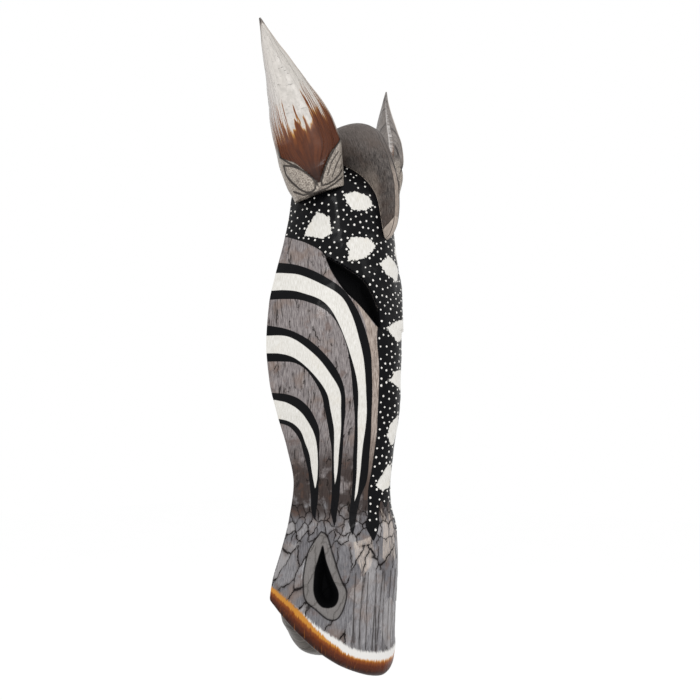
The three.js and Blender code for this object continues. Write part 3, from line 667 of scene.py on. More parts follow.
class Layer:
    """A value, colour or vector inside a finish. Arithmetic on it adds Math nodes."""

    def __init__(self, finish, socket):
        self.finish, self.socket = finish, socket

    def math(self, operation, *values):
        return self.finish.node("Math", {"operation": operation}, dict(enumerate(values)))

    def __add__(self, other):
        return self.math("ADD", self, other)

    def __sub__(self, other):
        return self.math("SUBTRACT", self, other)

    def __rsub__(self, other):
        return self.math("SUBTRACT", other, self)

    def __mul__(self, other):
        return self.math("MULTIPLY", self, other)

    def __abs__(self):
        return self.math("ABSOLUTE", self)

    __radd__, __rmul__ = __add__, __mul__

    def over(self, start, end):
        """0 below start and 1 above end, eased between them."""
        settings = {"interpolation_type": "SMOOTHSTEP"}
        return self.finish.node("MapRange", settings, {0: self, 1: start, 2: end, 3: 0.0, 4: 1.0})

    def coat(self, share, code):
        """This colour with a share of another brushed over it."""
        return self.finish.mix(share, self, code)

    def most(self, other):
        return self.math("MAXIMUM", self, other)

    def least(self, other):
        return self.math("MINIMUM", self, other)


class Finish:
    """A material, built up in layers on one glossy surface shader."""

    def __init__(self, name, **sockets):
        self.material = bpy.data.materials.new(name)
        self.material.use_nodes = True
        self.tree = self.material.node_tree
        self.surface = self.tree.nodes["Principled BSDF"]
        for socket, value in sockets.items():
            label = socket.replace("_", " ").title().replace("Ior", "IOR")
            self.surface.inputs[label].default_value = value

    def node(self, kind, settings=None, inputs=None, output=0):
        made = self.tree.nodes.new("ShaderNode" + kind)
        for key, value in (settings or {}).items():
            setattr(made, key, value)
        for socket, value in (inputs or {}).items():
            if isinstance(value, Layer):
                self.tree.links.new(value.socket, made.inputs[socket])
            else:
                made.inputs[socket].default_value = value
        return Layer(self, made.outputs[output])

    def value(self, name):
        return self.node("Attribute", {"attribute_name": name}, output="Fac")

    def place(self, name=None):
        """Where a point is: its own attribute, or its place in the object, in metres."""
        if name:
            return self.node("Attribute", {"attribute_name": name}, output="Vector")
        return self.node("TexCoord", output="Object")

    def part(self, place, axis):
        return self.node("SeparateXYZ", None, {0: place}, axis)

    def stretch(self, place, across, up, deep=1.0):
        return self.node("VectorMath", {"operation": "MULTIPLY"}, {0: place, 1: (across, up, deep)})

    def shift(self, place, offset):
        return self.node("VectorMath", {"operation": "ADD"}, {0: place, 1: offset})

    def noise(self, place, scale=1.0, detail=2.0, roughness=0.5, output="Fac"):
        inputs = {"Vector": place, "Scale": scale, "Detail": detail, "Roughness": roughness}
        return self.node("TexNoise", None, inputs, output)

    def fibres(self, place, fineness, detail, roughness):
        """Noise drawn out along the grain."""
        return self.noise(self.stretch(place, *fineness), 1.0, detail, roughness)

    def cells(self, place, feature="DISTANCE_TO_EDGE", output="Distance"):
        """Cells of unlike size: how far a place is from their edge, or each cell's own colour."""
        settings = {"voronoi_dimensions": "2D", "feature": feature}
        return self.node("TexVoronoi", settings, {"Vector": place, "Scale": 1.0}, output)

    def mix(self, share, under, over):
        """One colour or layer painted over another. A colour is given by its #rrggbb code."""
        under, over = (colour(coat) if isinstance(coat, str) else coat for coat in (under, over))
        return self.node("Mix", {"data_type": "RGBA"}, {0: share, 6: under, 7: over}, 2)

    def apply(self, base, roughness=None, bump=None, height=0.0003, coat=None):
        """Links what varies over the surface to the shader."""
        self.tree.links.new(base.socket, self.surface.inputs["Base Color"])
        if roughness is not None:
            self.tree.links.new(roughness.socket, self.surface.inputs["Roughness"])
        if coat is not None:
            self.tree.links.new(coat.socket, self.surface.inputs["Coat Weight"])
        if bump is not None:
            normal = self.node("Bump", None, {"Strength": 1.0, "Distance": height, "Height": bump})
            self.tree.links.new(normal.socket, self.surface.inputs["Normal"])


def dress(obj, finish, crease):
    """Gives a piece its finish, and sharp edges where faces turn by more than crease degrees."""
    obj.data.materials.clear()
    obj.data.materials.append(finish.material)
    select_only(obj)
    bpy.ops.object.shade_smooth_by_angle(angle=math.radians(crease))


# ---------------------------------------------------------------- the head's paint
# Grey wash is rubbed into crazed ground, so dark brown lines stand between grey slabs. Arches,
# brow and patches are brushed on with acrylics, the lip fades from white to burnt brown, and all
# of it is varnished. The back stays bare wood.
paint = Finish("head_painted_wood", coat_roughness=0.12, specular_ior_level=0.06)
spot = paint.place("skin_place")
tall = paint.part(spot, "Y")
aside = paint.part(spot, "X")
share = paint.value("share")
wobble = paint.noise(spot, 1.3, 3, 0.55, "Color")
wobble = paint.node("VectorMath", {"operation": "SUBTRACT"}, {0: wobble, 1: (0.5, 0.5, 0.5)})
fan = aside * (0.45 + tall.least(12.0) * 0.062)
fanned = paint.node("CombineXYZ", None, {0: fan, 1: tall})
drift = paint.node("VectorMath", {"operation": "MULTIPLY_ADD"}, {0: wobble, 1: (0.75, 0.9, 0), 2: fanned})
steady = paint.node("VectorMath", {"operation": "MULTIPLY_ADD"}, {0: wobble, 1: (0.1, 0.1, 0), 2: spot})
fray = (paint.noise(spot, 9, 3, 0.6) - 0.5) * 0.9
grain = paint.fibres(steady, (15, 1.3, 1), 5, 0.7)
thread = paint.fibres(steady, (34, 1.5, 1), 3, 0.6)
speckle = paint.noise(spot, 26, 3, 0.7)
cloud = paint.noise(spot, 0.55, 3, 0.55)
cover = paint.noise(paint.shift(spot, (5.2, 1.3, 0.0)), 1.0, 3, 0.6)

# Three sizes of crazing: cobbles where the stripes end, tall slabs, and long planks by the ridge.
slab_place = paint.stretch(drift, 1 / 1.15, 1 / 3.1)
plank_place = paint.stretch(steady, 1 / 0.5, 1 / 14.0)
cobble_place = paint.stretch(drift, 1 / 0.75, 1 / 0.95)
slab_edge = paint.cells(slab_place) * 1.15
plank_edge = paint.cells(plank_place) * 0.95
cobble_edge = paint.cells(cobble_place) * 0.8
cobbles = (tall + fray).over(9.4, 9.9) * (1 - (tall + fray).over(12.4, 13.4))
planks = (1 - (share + fray * 0.04).over(0.33, 0.36)) * (1 - (tall + fray).over(7.6, 7.9))
crack = slab_edge * (1 - planks) + plank_edge * planks
crack = crack * (1 - cobbles) + cobble_edge * cobbles
muzzle = 1 - tall.over(12.4, 13.6)
vein_area = cover.over(0.52, 0.6) * (1 - muzzle)
shown = muzzle * (0.35 + cover.over(0.3, 0.5) * 0.65) + vein_area * 0.8
line = (1 - crack.over(0.01, 0.05)) * shown * (1 - planks * 0.35)
halo = (1 - crack.over(0.0, 0.2)) * shown * 0.5
checks = abs(paint.fibres(steady, (1.7, 0.07, 1), 1, 0.4) - 0.5)
checks = (1 - checks.over(0.003, 0.013)) * (1 - muzzle) * cloud.over(0.42, 0.55)
tone = paint.node("SeparateColor", None, {0: paint.cells(slab_place, "F1", "Color")}, 0)
chip = paint.node("SeparateColor", None, {0: paint.cells(cobble_place, "F1", "Color")}, 0)
tone = tone * (1 - cobbles) + chip * cobbles

grey = paint.mix(grain.over(0.32, 0.66), "#4f494a", "#989190")
grey = paint.mix(muzzle * 0.6, grey, paint.mix(grain.over(0.3, 0.7), "#525458", "#94969b"))
grey = grey.coat(tone.over(0.15, 0.9) * 0.55 * muzzle, "#4f4e53")
grey = grey.coat((1 - tone.over(0.1, 0.45)) * 0.35 * muzzle, "#a9a5a4")
grey = grey.coat(cloud.over(0.5, 0.68) * 0.5, "#7c695d")
grey = grey.coat(thread.over(0.56, 0.7) * 0.55, "#3f393a")
# Pale specks over the grey: painted highlight speckles, the small glints of the varnish.
grey = grey.coat(speckle.over(0.56, 0.75) * 0.4, "#bdb6b1")
umber = paint.noise(paint.shift(spot, (3.1, 7.7, 0.0)), 0.9, 3, 0.6)
low_cheek = tall.over(11.0, 12.2) * (1 - tall.over(14.8, 18.5))
grey = grey.coat(umber.over(0.28, 0.5) * low_cheek * 0.9, "#2a1e19")
grey = grey.coat(umber.over(0.56, 0.7) * 0.4, "#5a3f30")
# Cream: a speckled painted highlight on the slab under the longest arch, and the rubbed-through plank in
# the fork.
cream_highlight_and_plank = (paint.value("cream_highlight_and_plank") + fray * 1.4).over(-0.4, 0.6) * (1 - line)
grey = grey.coat(cream_highlight_and_plank * (0.12 + thread.over(0.4, 0.58) * 0.6) * speckle.over(0.3, 0.5), "#cbbdb0")
grey = grey.coat(halo, "#332925")
grey = grey.coat(checks * 0.8, "#231c1b")
grey = grey.coat(line, "#120d0b")

# Beige strip down the cheek; near the eye it is a painted highlight on the brow's edge and the lower lid.
strip_and_eye_highlight = (paint.value("strip_and_eye_highlight") + fray * 0.5).over(-0.25, 0.25)
beige = paint.mix(grain.over(0.35, 0.66), "#77695f", "#b9aca2")
beige = beige.coat(1 - tall.over(13.5, 19.5), "#4a3c35")
beige = beige.coat(thread.over(0.56, 0.7) * 0.6, "#4b3c35")
base = paint.mix(strip_and_eye_highlight * 0.9, grey, beige)
black_paint = paint.mix(speckle.over(0.45, 0.8), "#050507", "#141418")
brow_mask = (paint.value("brow") + fray).over(-0.25, 0.25)
arch_mask = (paint.value("arch_black") + fray * 0.35).over(-0.2, 0.2)
black = arch_mask.most(brow_mask)
base = paint.mix(black, base, black_paint)
brushed = paint.noise(paint.stretch(spot, 3, 0.35), 6.0, 4, 0.6)
white_paint = paint.mix(brushed.over(0.35, 0.7), "#c9c6bf", "#dfddd9")
white_paint = white_paint.coat(cloud.over(0.55, 0.75) * 0.35, "#cbc3b3")
arch_white = (paint.value("arch_white") + fray * 0.3).over(-0.2, 0.2)
ragged = (paint.noise(spot, 5, 2, 0.6) - 0.5) * 4.5
patch_mask = (paint.value("patches") + fray * 1.2 + ragged).over(-0.2, 0.3)
white = arch_white.most(patch_mask)
base = paint.mix(white, base, white_paint)

rim = (paint.value("rim") + fray * 0.4).over(-0.2, 0.5)
rim_edge = 1 - abs(paint.value("rim") + 0.35).over(0.35, 0.95)
pale = paint.mix(speckle.over(0.35, 0.65), "#77736f", "#aaa6a3")
pale = paint.mix(grain.over(0.35, 0.45) * 0.3, "#5f5b59", pale)
base = paint.mix(rim * 0.85, base, pale)
base = base.coat(rim_edge * 0.9, "#120e0c")
pit = paint.value("nostril").over(-0.9, -0.1).most(paint.value("eye").over(-0.6, 0.2))
base = base.coat(pit, "#030304")

fall = paint.value("lip_fall")
streak = paint.noise(paint.stretch(spot, 5.0, 0.35), 2.0, 4, 0.7)
run = fall + (streak - 0.5) * 0.42
corner = share.over(0.3, 0.9)
lip = paint.mix((run + corner * 0.42).over(0.29, 0.37), "#d6d4d1", "#b97d2e")
lip = lip.coat((run + corner * 0.14).over(0.34, 0.43), "#7a3d12")
lip = lip.coat((run + corner * 0.1).over(0.42, 0.58), "#4f210c")
lip = lip.coat((run + corner * 0.1).over(0.58, 0.84), "#260d06")
lip = lip.coat(streak.over(0.57, 0.68) * run.over(0.4, 0.52) * 0.55, "#96561b")
lip = lip.coat((1 - streak.over(0.33, 0.42)) * run.over(0.36, 0.46) * 0.7, "#32150a")
lip_mask = (fall + (paint.noise(paint.stretch(spot, 8.0, 1.0), 2.0, 3, 0.6) - 0.5) * 0.3).over(-0.03, 0.08)
base = paint.mix(lip_mask, base, lip)
under = paint.mix(grain.over(0.3, 0.7), "#2c2826", "#5c5650")
base = paint.mix(share.over(1.5, 1.6), base, under)

painted_mask = black.most(white).most(lip_mask)
relief = grain * 0.3 + speckle * 0.3 + tone * muzzle * (1 - painted_mask) * 0.7
relief = relief - (line + checks * 0.6) * (1 - painted_mask) * 1.5 + brushed * 0.15 + white * 0.35
varnish = (0.22 - line * 0.15) * (1 - pit) * (1 - black * 0.75)
paint.apply(base, 0.26 + speckle * 0.22 + line * 0.2 + pit * 0.4, relief, 0.0004, varnish)

bare = Finish("head_bare_wood", specular_ior_level=0.3)
inside = bare.place()
rings = bare.fibres(inside, (260, 260, 14), 4, 0.6)
stain = bare.noise(inside, 30, 3, 0.55)
fibre = bare.fibres(inside, (1800, 1800, 90), 3, 0.6)
wood = bare.mix(rings.over(0.35, 0.65), "#9a7a55", "#c9a877")
wood = wood.coat(stain.over(0.5, 0.75) * 0.45, "#7a5a3c")
wood = wood.coat(fibre.over(0.5, 0.8) * 0.35, "#6b4f36")
bare.apply(wood, 0.72 + fibre * 0.12, rings * 0.5 + fibre * 0.5, 0.0005)

head.data.materials.clear()
head.data.materials.append(paint.material)
head.data.materials.append(bare.material)
CUT_NEARNESS = 0.6
for polygon in head.data.polygons:
    is_cut = any((tree.find_nearest(polygon.center)[3] or 0) < CUT_NEARNESS * MM for tree in cut_trees)
    is_back = polygon.center.y > -1e-5 and polygon.normal.y > 0.9
    polygon.material_index = 1 if is_cut or is_back else 0
select_only(head)
bpy.ops.object.shade_smooth_by_angle(angle=math.radians(42))
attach(head, "mask")
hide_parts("head")

# ---------------------------------------------------------------- the white dots
# Each dot is a drop of thick white acrylic set down with the end of a skewer, so it stands up as a
# small dome. A row follows every edge of the black ground and the rest fill it evenly.
DOT_RADIUS = 0.86
DOT_RISE = 0.42
DOT_SINK = 0.12
DOT_SPACING = 4.5
DOT_EDGE = 1.9
DOT_TRIES = 26000
DOT_SIDES = 9
DOT_LOWEST, DOT_HIGHEST = 98, 400
PATCH_MARGIN, EYE_MARGIN, COVER_MARGIN = 1.6, 1.5, 1.3

dot_random = np.random.default_rng(8)
covers = [surface_tree(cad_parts[node].data) for node in ("forelock", "ear_left", "ear_right")]


def covered(point):
    """Whether an ear or the forelock stands over a place on the head."""
    for cover in covers:
        near, normal, _, gap = cover.find_nearest(point)
        if gap < COVER_MARGIN * MM or (Vector(point) - near).dot(normal) < 0:
            return True
    return False


tries_side = dot_random.uniform(-1, 1, DOT_TRIES)
tries_height = dot_random.uniform(DOT_LOWEST, DOT_HIGHEST, DOT_TRIES)
marks = painted(tries_side, tries_height)
room_left = np.minimum(marks["brow"] - DOT_EDGE, -marks["patches"] - PATCH_MARGIN)
room_left = np.minimum(room_left, -marks["eye"] - EYE_MARGIN)
allowed = room_left > 0
tries_side, tries_height = tries_side[allowed], tries_height[allowed]
order = np.argsort(np.where(room_left[allowed] < 0.5, 0, 1), kind="stable")
skin_points = head_surface(tries_side, tries_height)
skin_normals = head_normal(tries_side, tries_height)
skin_points = skin_points + skin_normals * (carving(tries_side, tries_height) - DOT_SINK)[:, None]
taken = {}
chosen = []
for i in order:
    cell = tuple(int(c) for c in skin_points[i] // DOT_SPACING)
    near = [taken.get((cell[0] + a, cell[1] + b, cell[2] + c)) or []
            for a in (-1, 0, 1) for b in (-1, 0, 1) for c in (-1, 0, 1)]
    if all(np.linalg.norm(skin_points[i] - skin_points[j]) > DOT_SPACING for group in near for j in group):
        taken.setdefault(cell, []).append(i)
        if not covered(row_frame(skin_points[i])):
            chosen.append(i)

bpy.ops.object.select_all(action="DESELECT")
bpy.ops.mesh.primitive_circle_add(vertices=DOT_SIDES, radius=1, fill_type="NGON")
dots = bpy.context.object
dots.name = dots.data.name = "white_paint_dots"
bpy.ops.object.mode_set(mode="EDIT")
for width, rise in ((0.86, 0.55), (0.45, 0.4)):
    bpy.ops.mesh.extrude_region_move(TRANSFORM_OT_translate={"value": (0, 0, rise)})
    bpy.ops.transform.resize(value=(width, width, 1))
bpy.ops.mesh.poke()
bpy.ops.object.mode_set(mode="OBJECT")
drop_points = read_points(dots.data)
drop_points[:, 2] /= drop_points[:, 2].max()
drop_faces = [tuple(polygon.vertices) for polygon in dots.data.polygons]
all_points, all_faces = [], []
for i in chosen:
    out = skin_normals[i]
    flat = np.cross(out, [0, 0, 1])
    flat /= np.linalg.norm(flat)
    up = np.cross(flat, out)
    size = DOT_RADIUS * dot_random.uniform(0.82, 1.14)
    turn = dot_random.uniform(0, 6.3)
    x = drop_points[:, :1] * math.cos(turn) - drop_points[:, 1:2] * math.sin(turn)
    y = drop_points[:, :1] * math.sin(turn) + drop_points[:, 1:2] * math.cos(turn)
    shape = skin_points[i] + size * (x * flat + y * up * dot_random.uniform(0.95, 1.15))
    shape = shape + drop_points[:, 2:] * out * (DOT_RISE + DOT_SINK)
    first = len(all_points) * len(drop_points)
    all_faces += [tuple(corner + first for corner in drop_face) for drop_face in drop_faces]
    all_points.append(shape)
dots.data.clear_geometry()
dots.data.from_pydata(row_frame(np.vstack(all_points)).tolist(), [], all_faces)
close_up(dots, gap=1e-7)

acrylic = Finish("white_acrylic_drops", coat_weight=0.2, coat_roughness=0.1, specular_ior_level=0.3)
shade = acrylic.noise(acrylic.place(), 900, 2, 0.5)
acrylic.apply(acrylic.mix(shade.over(0.35, 0.7), "#d6d3cc", "#e9e7e3"), shade * 0.2 + 0.25,
              shade, 0.00005)
dress(dots, acrylic, 60)
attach(dots, "mask")

# ---------------------------------------------------------------- the ears
# Two leaf-shaped ears, hollowed a little in front. The face is off-white with burnt brown brushed
# up from a V between two carved petals at the foot, and the back keeps its dark grain. Each ear's
# foot is cut to sit on the head, and is drilled for its peg.
EAR_HALF_WIDTH = [(-0.03, 20.5), (0, 21.5), (0.06, 23.5), (0.2, 25.5), (0.33, 24.5), (0.42, 22.5),
                  (0.51, 19), (0.63, 14.4), (0.75, 10.2), (0.87, 5.4), (1, 0.7)]
EAR_THICKNESS = [(-0.03, 32), (0, 33), (0.12, 34), (0.25, 32), (0.38, 27), (0.52, 20), (0.68, 13.5),
                 (0.85, 7.5), (1, 1.2)]
EAR_FORWARD = [(-0.03, 1.5), (0.1, 3.5), (0.28, 6.5), (0.42, 5.5), (0.6, 2.5), (0.8, 0.5), (1, 0)]
EAR_INWARD = [(-0.03, 0.5), (0.1, 1.5), (0.3, 3.2), (0.6, 2.4), (0.85, 0.6), (1, 0)]
FACE_HALF_WIDTH = [(0.022, 0.5), (0.084, 6), (0.104, 8), (0.167, 15.5), (0.18, 18.5), (0.235, 26.5),
                   (0.33, 27), (0.42, 25), (0.51, 21.5), (0.63, 17), (0.75, 12.8), (0.87, 8), (0.97, 4)]
FACE_LEVEL = [(0.022, 15.8), (0.06, 13.5), (0.12, 9.5), (0.2, 6.5), (0.27, 4.8), (0.38, 3.6), (0.52, 2.4),
              (0.68, 1.2), (0.85, 0.6), (0.93, 0.9), (0.97, 1.6)]
FACE_EDGE = [(0.022, 15.8), (0.06, 14.8), (0.12, 14), (0.2, 13.4), (0.27, 13.2), (0.38, 11.8), (0.52, 9.8),
             (0.68, 6.8), (0.85, 3.6), (0.93, 2.2), (0.97, 1.8)]
# In front of its middle the ear is deeper by this factor, and its section is squarer the smaller
# this power is (1 is an ellipse).
FRONT_DEPTH = [(-0.03, 1), (0.25, 0.98), (0.38, 1), (0.55, 1.12), (0.7, 1.15), (1, 1)]
FRONT_POWER = [(-0.03, 0.85), (0.1, 0.6), (0.25, 0.28), (0.6, 0.28), (0.85, 0.5), (1, 1)]
# Petal outlines and the seam above the foot, in mm: outward across the face, and up the ear.
OUTER_PETAL = [(23.6, 23.6), (17.5, 20.8), (11.7, 16.8), (7.2, 12.4), (4.4, 7.6), (3.4, 3), (4.3, -0.6),
               (7.5, -2), (11.4, -1.2), (16, 3), (20.4, 10), (23.4, 17)]
OUTER_RIM = [(25.6, 31), (20, 24.4), (14, 19.3), (8.6, 13.2), (4, 7.6), (1.6, 2.4), (0.6, -1)]
INNER_PETAL = [(-24.9, 30), (-19, 25), (-14, 20.2), (-9.6, 15.4), (-5.4, 9.6), (-2, 3.4), (-1.4, 0.4),
               (-6, 0), (-12, 1.4), (-18, 4.6), (-23, 9.5), (-25, 17)]
PETAL_VEINS = [[(-20.5, 21.5), (-13, 15), (-7.4, 6.4)], [(-23, 19), (-16.5, 12.4), (-10.8, 4.4)],
               [(-24, 14), (-19.5, 9.5)]]
FOOT_SEAM = [(26, 7), (20.6, 3), (14, -2.2), (6, -3.4), (-4, -3), (-12, -1), (-19, 2), (-25.5, 6)]
EAR_COLUMNS = 236
EAR_ROWS = 230
ear_half, ear_thickness = smooth_curve(EAR_HALF_WIDTH), smooth_curve(EAR_THICKNESS)
ear_forward, ear_inward = smooth_curve(EAR_FORWARD), smooth_curve(EAR_INWARD)
face_half, face_level, face_edge = map(smooth_curve, (FACE_HALF_WIDTH, FACE_LEVEL, FACE_EDGE))
front_depth, front_power = smooth_curve(FRONT_DEPTH), smooth_curve(FRONT_POWER)


def ear_section(turn, place, grow=0.0, carved=True):
    """Across and out, in mm, on the ear's section, and how far inside the face's edge it is."""
    half, deep = ear_half(place), ear_thickness(place) / 2
    in_front = np.sin(turn) > 0
    power = np.where(in_front, front_power(place), 1)
    deep = np.where(in_front, deep * front_depth(place), deep)
    x = np.sign(np.cos(turn)) * np.abs(np.cos(turn)) ** power * (half + grow)
    out = np.sign(np.sin(turn)) * np.abs(np.sin(turn)) ** power * (deep + grow)
    bow = (face_edge(place) - face_level(place)) / half ** 2
    tries = np.linspace(0, 0.999, 120)[:, None] * half
    front = ear_thickness(place) / 2 * front_depth(place)
    front = front * (1 - (tries / half) ** (2 / front_power(place))) ** (front_power(place) / 2)
    below = face_level(place) + bow * tries ** 2 < front
    edge = np.minimum(np.max(np.where(below, tries, 0), axis=0), face_half(place))
    edge = np.where((place > FACE_HALF_WIDTH[0][0]) & (place < FACE_HALF_WIDTH[-1][0]), edge, -3)
    inside = np.where(np.sin(turn) > -0.1, edge - np.abs(x), -30)
    if carved:
        floor = face_level(place) + bow * x * x
        dish = out + (floor - out) * ease(inside, -0.4, 0.7)
        out = np.where(in_front, np.minimum(out, dish), out)
    return x, out, inside


def blank_body(grow):
    """The head's plain blank, a little larger, to cut the pieces that sit on it."""
    obj, column, row = add_grid("blank_cutter", 120, 130)
    around = column / 120
    edge = np.clip(around / 0.9, 0, 1) * 2 - 1
    back = np.clip((around - 0.9) / 0.1, 0, 1)
    height = row_height(8 + (HEAD_TOP - 8) * np.clip((row - 1) / 128, 0, 1), edge)
    made = head_surface(edge, height) + grow * head_normal(edge, height)
    made[:, 0] *= 1 - 2 * back
    made[np.abs(edge) >= 1, 1] = 0
    for end in (0, 130):
        made[row == end] = made[row == end].mean(axis=0)
    made[row >= 129, 2] += grow
    write_points(obj.data, row_frame(made))
    close_up(obj)
    return obj


def ear_body(name, sign, grow=0.0, carved=True):
    foot, length, along, facing, across, inward = ear_axes(sign)
    columns, rows = (EAR_COLUMNS, EAR_ROWS) if carved else (60, 60)
    obj, column, row = add_grid(name, columns, rows)
    turn = column / columns * 2 * np.pi
    turn = turn - 0.2 * np.sin(2 * turn) * (np.sin(turn) > 0)
    place = EAR_HALF_WIDTH[0][0] + (1 - EAR_HALF_WIDTH[0][0]) * row / rows
    x, out, inside = ear_section(turn, place, grow, carved)
    hand = -np.sign(across @ inward)
    outward, up = x * hand, place * length
    if carved:
        front = ease(np.sin(turn), 0.15, 0.45)
        spots = np.stack([outward, up], -1)
        outer, inner = within(spots, np.array(OUTER_PETAL)), within(spots, np.array(INNER_PETAL))
        lines = [line_distance(spots, np.array(OUTER_RIM))[0], line_distance(spots, np.array(FOOT_SEAM))[0],
                 np.abs(outer), np.abs(inner)]
        veins = np.min([line_distance(spots, np.array(vein, float))[0] for vein in PETAL_VEINS], axis=0)
        seam = np.min(lines, axis=0) + (1 - front) * 9
        swell = 1.1 * ease(outer, 0, 4) + 0.8 * ease(inner, 0, 3) - 0.35 * np.exp(-(veins / 0.6) ** 2)
        swell = swell * (inside < 0) * (1 - ease(np.abs(x) / ear_half(place), 0.78, 0.95))
        swell = (swell - 0.55 * np.exp(-(seam / 0.6) ** 2) * (inside < 0.5)) * front
        foot_bulge = 0.8 * ease(3 - up, 0, 4) * front
        out = out + (swell + foot_bulge) * np.sin(turn).clip(0, 1) ** 0.5
        x = x + (swell + foot_bulge) * np.cos(turn) * 0.6
        set_values(obj.data, "seam", seam)
        set_values(obj.data, "vein", veins + (1 - front) * 9 + np.where(inner > 0, 0, 9))
        set_values(obj.data, "face", inside)
        arc = (turn - np.pi / 2) * hand * -1 * ear_half(place)
        set_values(obj.data, "ear_place", np.stack([arc / 10, up / 10, 0 * up], -1))
    made = foot + np.outer(up, along) + np.outer(ear_forward(place), facing)
    made += np.outer(ear_inward(place), inward) + np.outer(x, across) + np.outer(out, facing)
    if carved:
        bumps = 0.22 * chisel(made, 8, 41, 18) * (1 - ease(place, 0.85, 1))
        made += bumps[:, None] * (np.outer(np.cos(turn), across) + np.outer(np.sin(turn), facing))
    for end in (0, rows):
        made[row == end] = made[row == end].mean(axis=0)
    write_points(obj.data, row_frame(made))
    close_up(obj)
    return obj


leaf = Finish("ear_painted_wood", coat_weight=0.12, coat_roughness=0.15, specular_ior_level=0.2)
on_ear = leaf.place("ear_place")
up_ear = leaf.part(on_ear, "Y")
out_ear = leaf.part(on_ear, "X")
face = leaf.value("face")
long_grain = leaf.fibres(on_ear, (1.5, 0.08, 1), 2, 0.45)
fine_grain = leaf.fibres(on_ear, (26, 1.5, 1), 4, 0.65)
mottle = leaf.noise(on_ear, 9, 4, 0.65)
blotch = leaf.noise(on_ear, 1.6, 3, 0.6)
wood_grey = leaf.mix(fine_grain.over(0.35, 0.66), "#48423f", "#8d8681")
wood_grey = wood_grey.coat(mottle.over(0.5, 0.75) * 0.6, "#857b72")
furrow = 1 - abs(long_grain - 0.5).over(0.004, 0.022)
wood_grey = wood_grey.coat(furrow * up_ear.over(3.4, 4.6) * 0.85, "#1f1a19")
foot_wood = leaf.mix(mottle.over(0.38, 0.62), "#6d635b", "#b4aba0")
foot_wood = foot_wood.coat(fine_grain.over(0.55, 0.68) * 0.55, "#4a423d")
foot_wood = foot_wood.coat(blotch.over(0.5, 0.65) * 0.5, "#5c544e")
low = 1 - up_ear.over(3.0, 4.2)
wood_grey = leaf.mix(low, wood_grey, foot_wood)
scribe = (1 - leaf.value("seam").over(0.35, 1.0)).most((1 - leaf.value("vein").over(0.25, 0.75)) * 0.85)
wood_grey = wood_grey.coat(scribe * mottle.over(0.3, 0.42) * 0.9, "#1d1715")
chalk = leaf.mix(fine_grain.over(0.3, 0.7), "#b3afa9", "#cdc8c2")
chalk = chalk.coat(out_ear.over(-0.6, 1.6) * 0.45, "#b5b0b0")
flecks = leaf.fibres(on_ear, (12, 5, 1), 3, 0.7).over(0.6, 0.66)
flecks = flecks * (blotch + out_ear * 0.1).over(0.4, 0.55)
chalk = chalk.coat(flecks * 0.75, "#66605c")
brush = leaf.fibres(on_ear, (3.6, 0.07, 1), 2, 0.5)
hair = leaf.fibres(on_ear, (17, 0.22, 1), 3, 0.6)
reach = brush.over(0.4, 0.64) * 1.3 + hair.over(0.42, 0.68) * 2.6 - out_ear * 0.3
depth_in = reach + 4.6 - up_ear
brown = leaf.mix(depth_in.over(0.0, 0.5), "#a87a3c", "#6b3813")
brown = brown.coat(depth_in.over(0.4, 1.5), "#47200b")
brown = brown.coat(hair.over(0.42, 0.62) * 0.5, "#683411")
brown = brown.coat(fine_grain.over(0.5, 0.7) * 0.4, "#34170b")
brown = brown.coat((1 - up_ear.over(0.6, 2.6)) * 0.85, "#1f0d07")
face_paint = leaf.mix(depth_in.over(-0.3, 0.15), chalk, brown)
rim_light = face.over(-0.6, -0.2) * (1 - face.over(0.2, 0.8)) * (1 - out_ear.over(-0.5, 0.5))
turned_rim = out_ear.over(0.2, 0.8) * up_ear.over(3.4, 4.2) * face.over(-3.4, -2.6)
leaf_base = leaf.mix(face.over(-0.35, 0.25).most(turned_rim), wood_grey, face_paint)
leaf_base = leaf_base.coat(rim_light * up_ear.over(3, 4) * 0.8, "#b7aca2")
v_line = (1 - abs(face + 0.3).over(0.3, 0.9)) * low
leaf_base = leaf_base.coat(v_line * 0.85, "#17100d")
relief = fine_grain * 0.6 + furrow * -0.8 + hair * 0.3 - scribe * 0.6
leaf.apply(leaf_base, 0.35 + mottle * 0.22, relief, 0.0004)

for name, sign in (("left", -1), ("right", 1)):
    ear = ear_body("ear_" + name + "_leaf", sign)
    combine(ear, blank_body(PLAY), "DIFFERENCE")
    foot, _, along, _, _, _ = ear_axes(sign)
    reach = EAR_PEG_LENGTH / 2 + PLAY
    combine(ear, add_round("socket", foot - along * reach, foot + along * reach, EAR_PEG_RADIUS + PLAY),
            "DIFFERENCE")
    dress(ear, leaf, 50)
    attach(ear, "mask")
    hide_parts("ear_" + name)

# ---------------------------------------------------------------- the forelock
# A stubby mane carved as one piece: a narrow keel in front that widens into a round cap over the
# top of the head. It is stained dark and scratched all over with fine strokes, and the keel's flat
# front and its lower end are paler. The flanks' lower part carries a painted highlight.
FORELOCK = [(334, 67, 3.2, 40), (339, 73.5, 4.2, 40), (350, 78, 5.4, 40), (363, 79, 6.8, 40),
            (376, 78.6, 8.4, 38), (386, 77, 10, 34), (396, 74, 13, 27), (407, 70, 19.5, 16),
            (417, 65.5, 22.5, 9), (426, 61, 20.5, 11), (432.5, 54.5, 15.5, 18), (436.3, 46, 9, 27)]
FORELOCK_LEVELS = [(0, 334), (0.05, 339), (0.45, 386), (0.8, 423), (0.93, 434), (1, 436.3)]
FORELOCK_KEEL = 3
KEEL_SHARE = 6 / 88
FORELOCK_COLUMNS = 176
FORELOCK_ROWS = 150

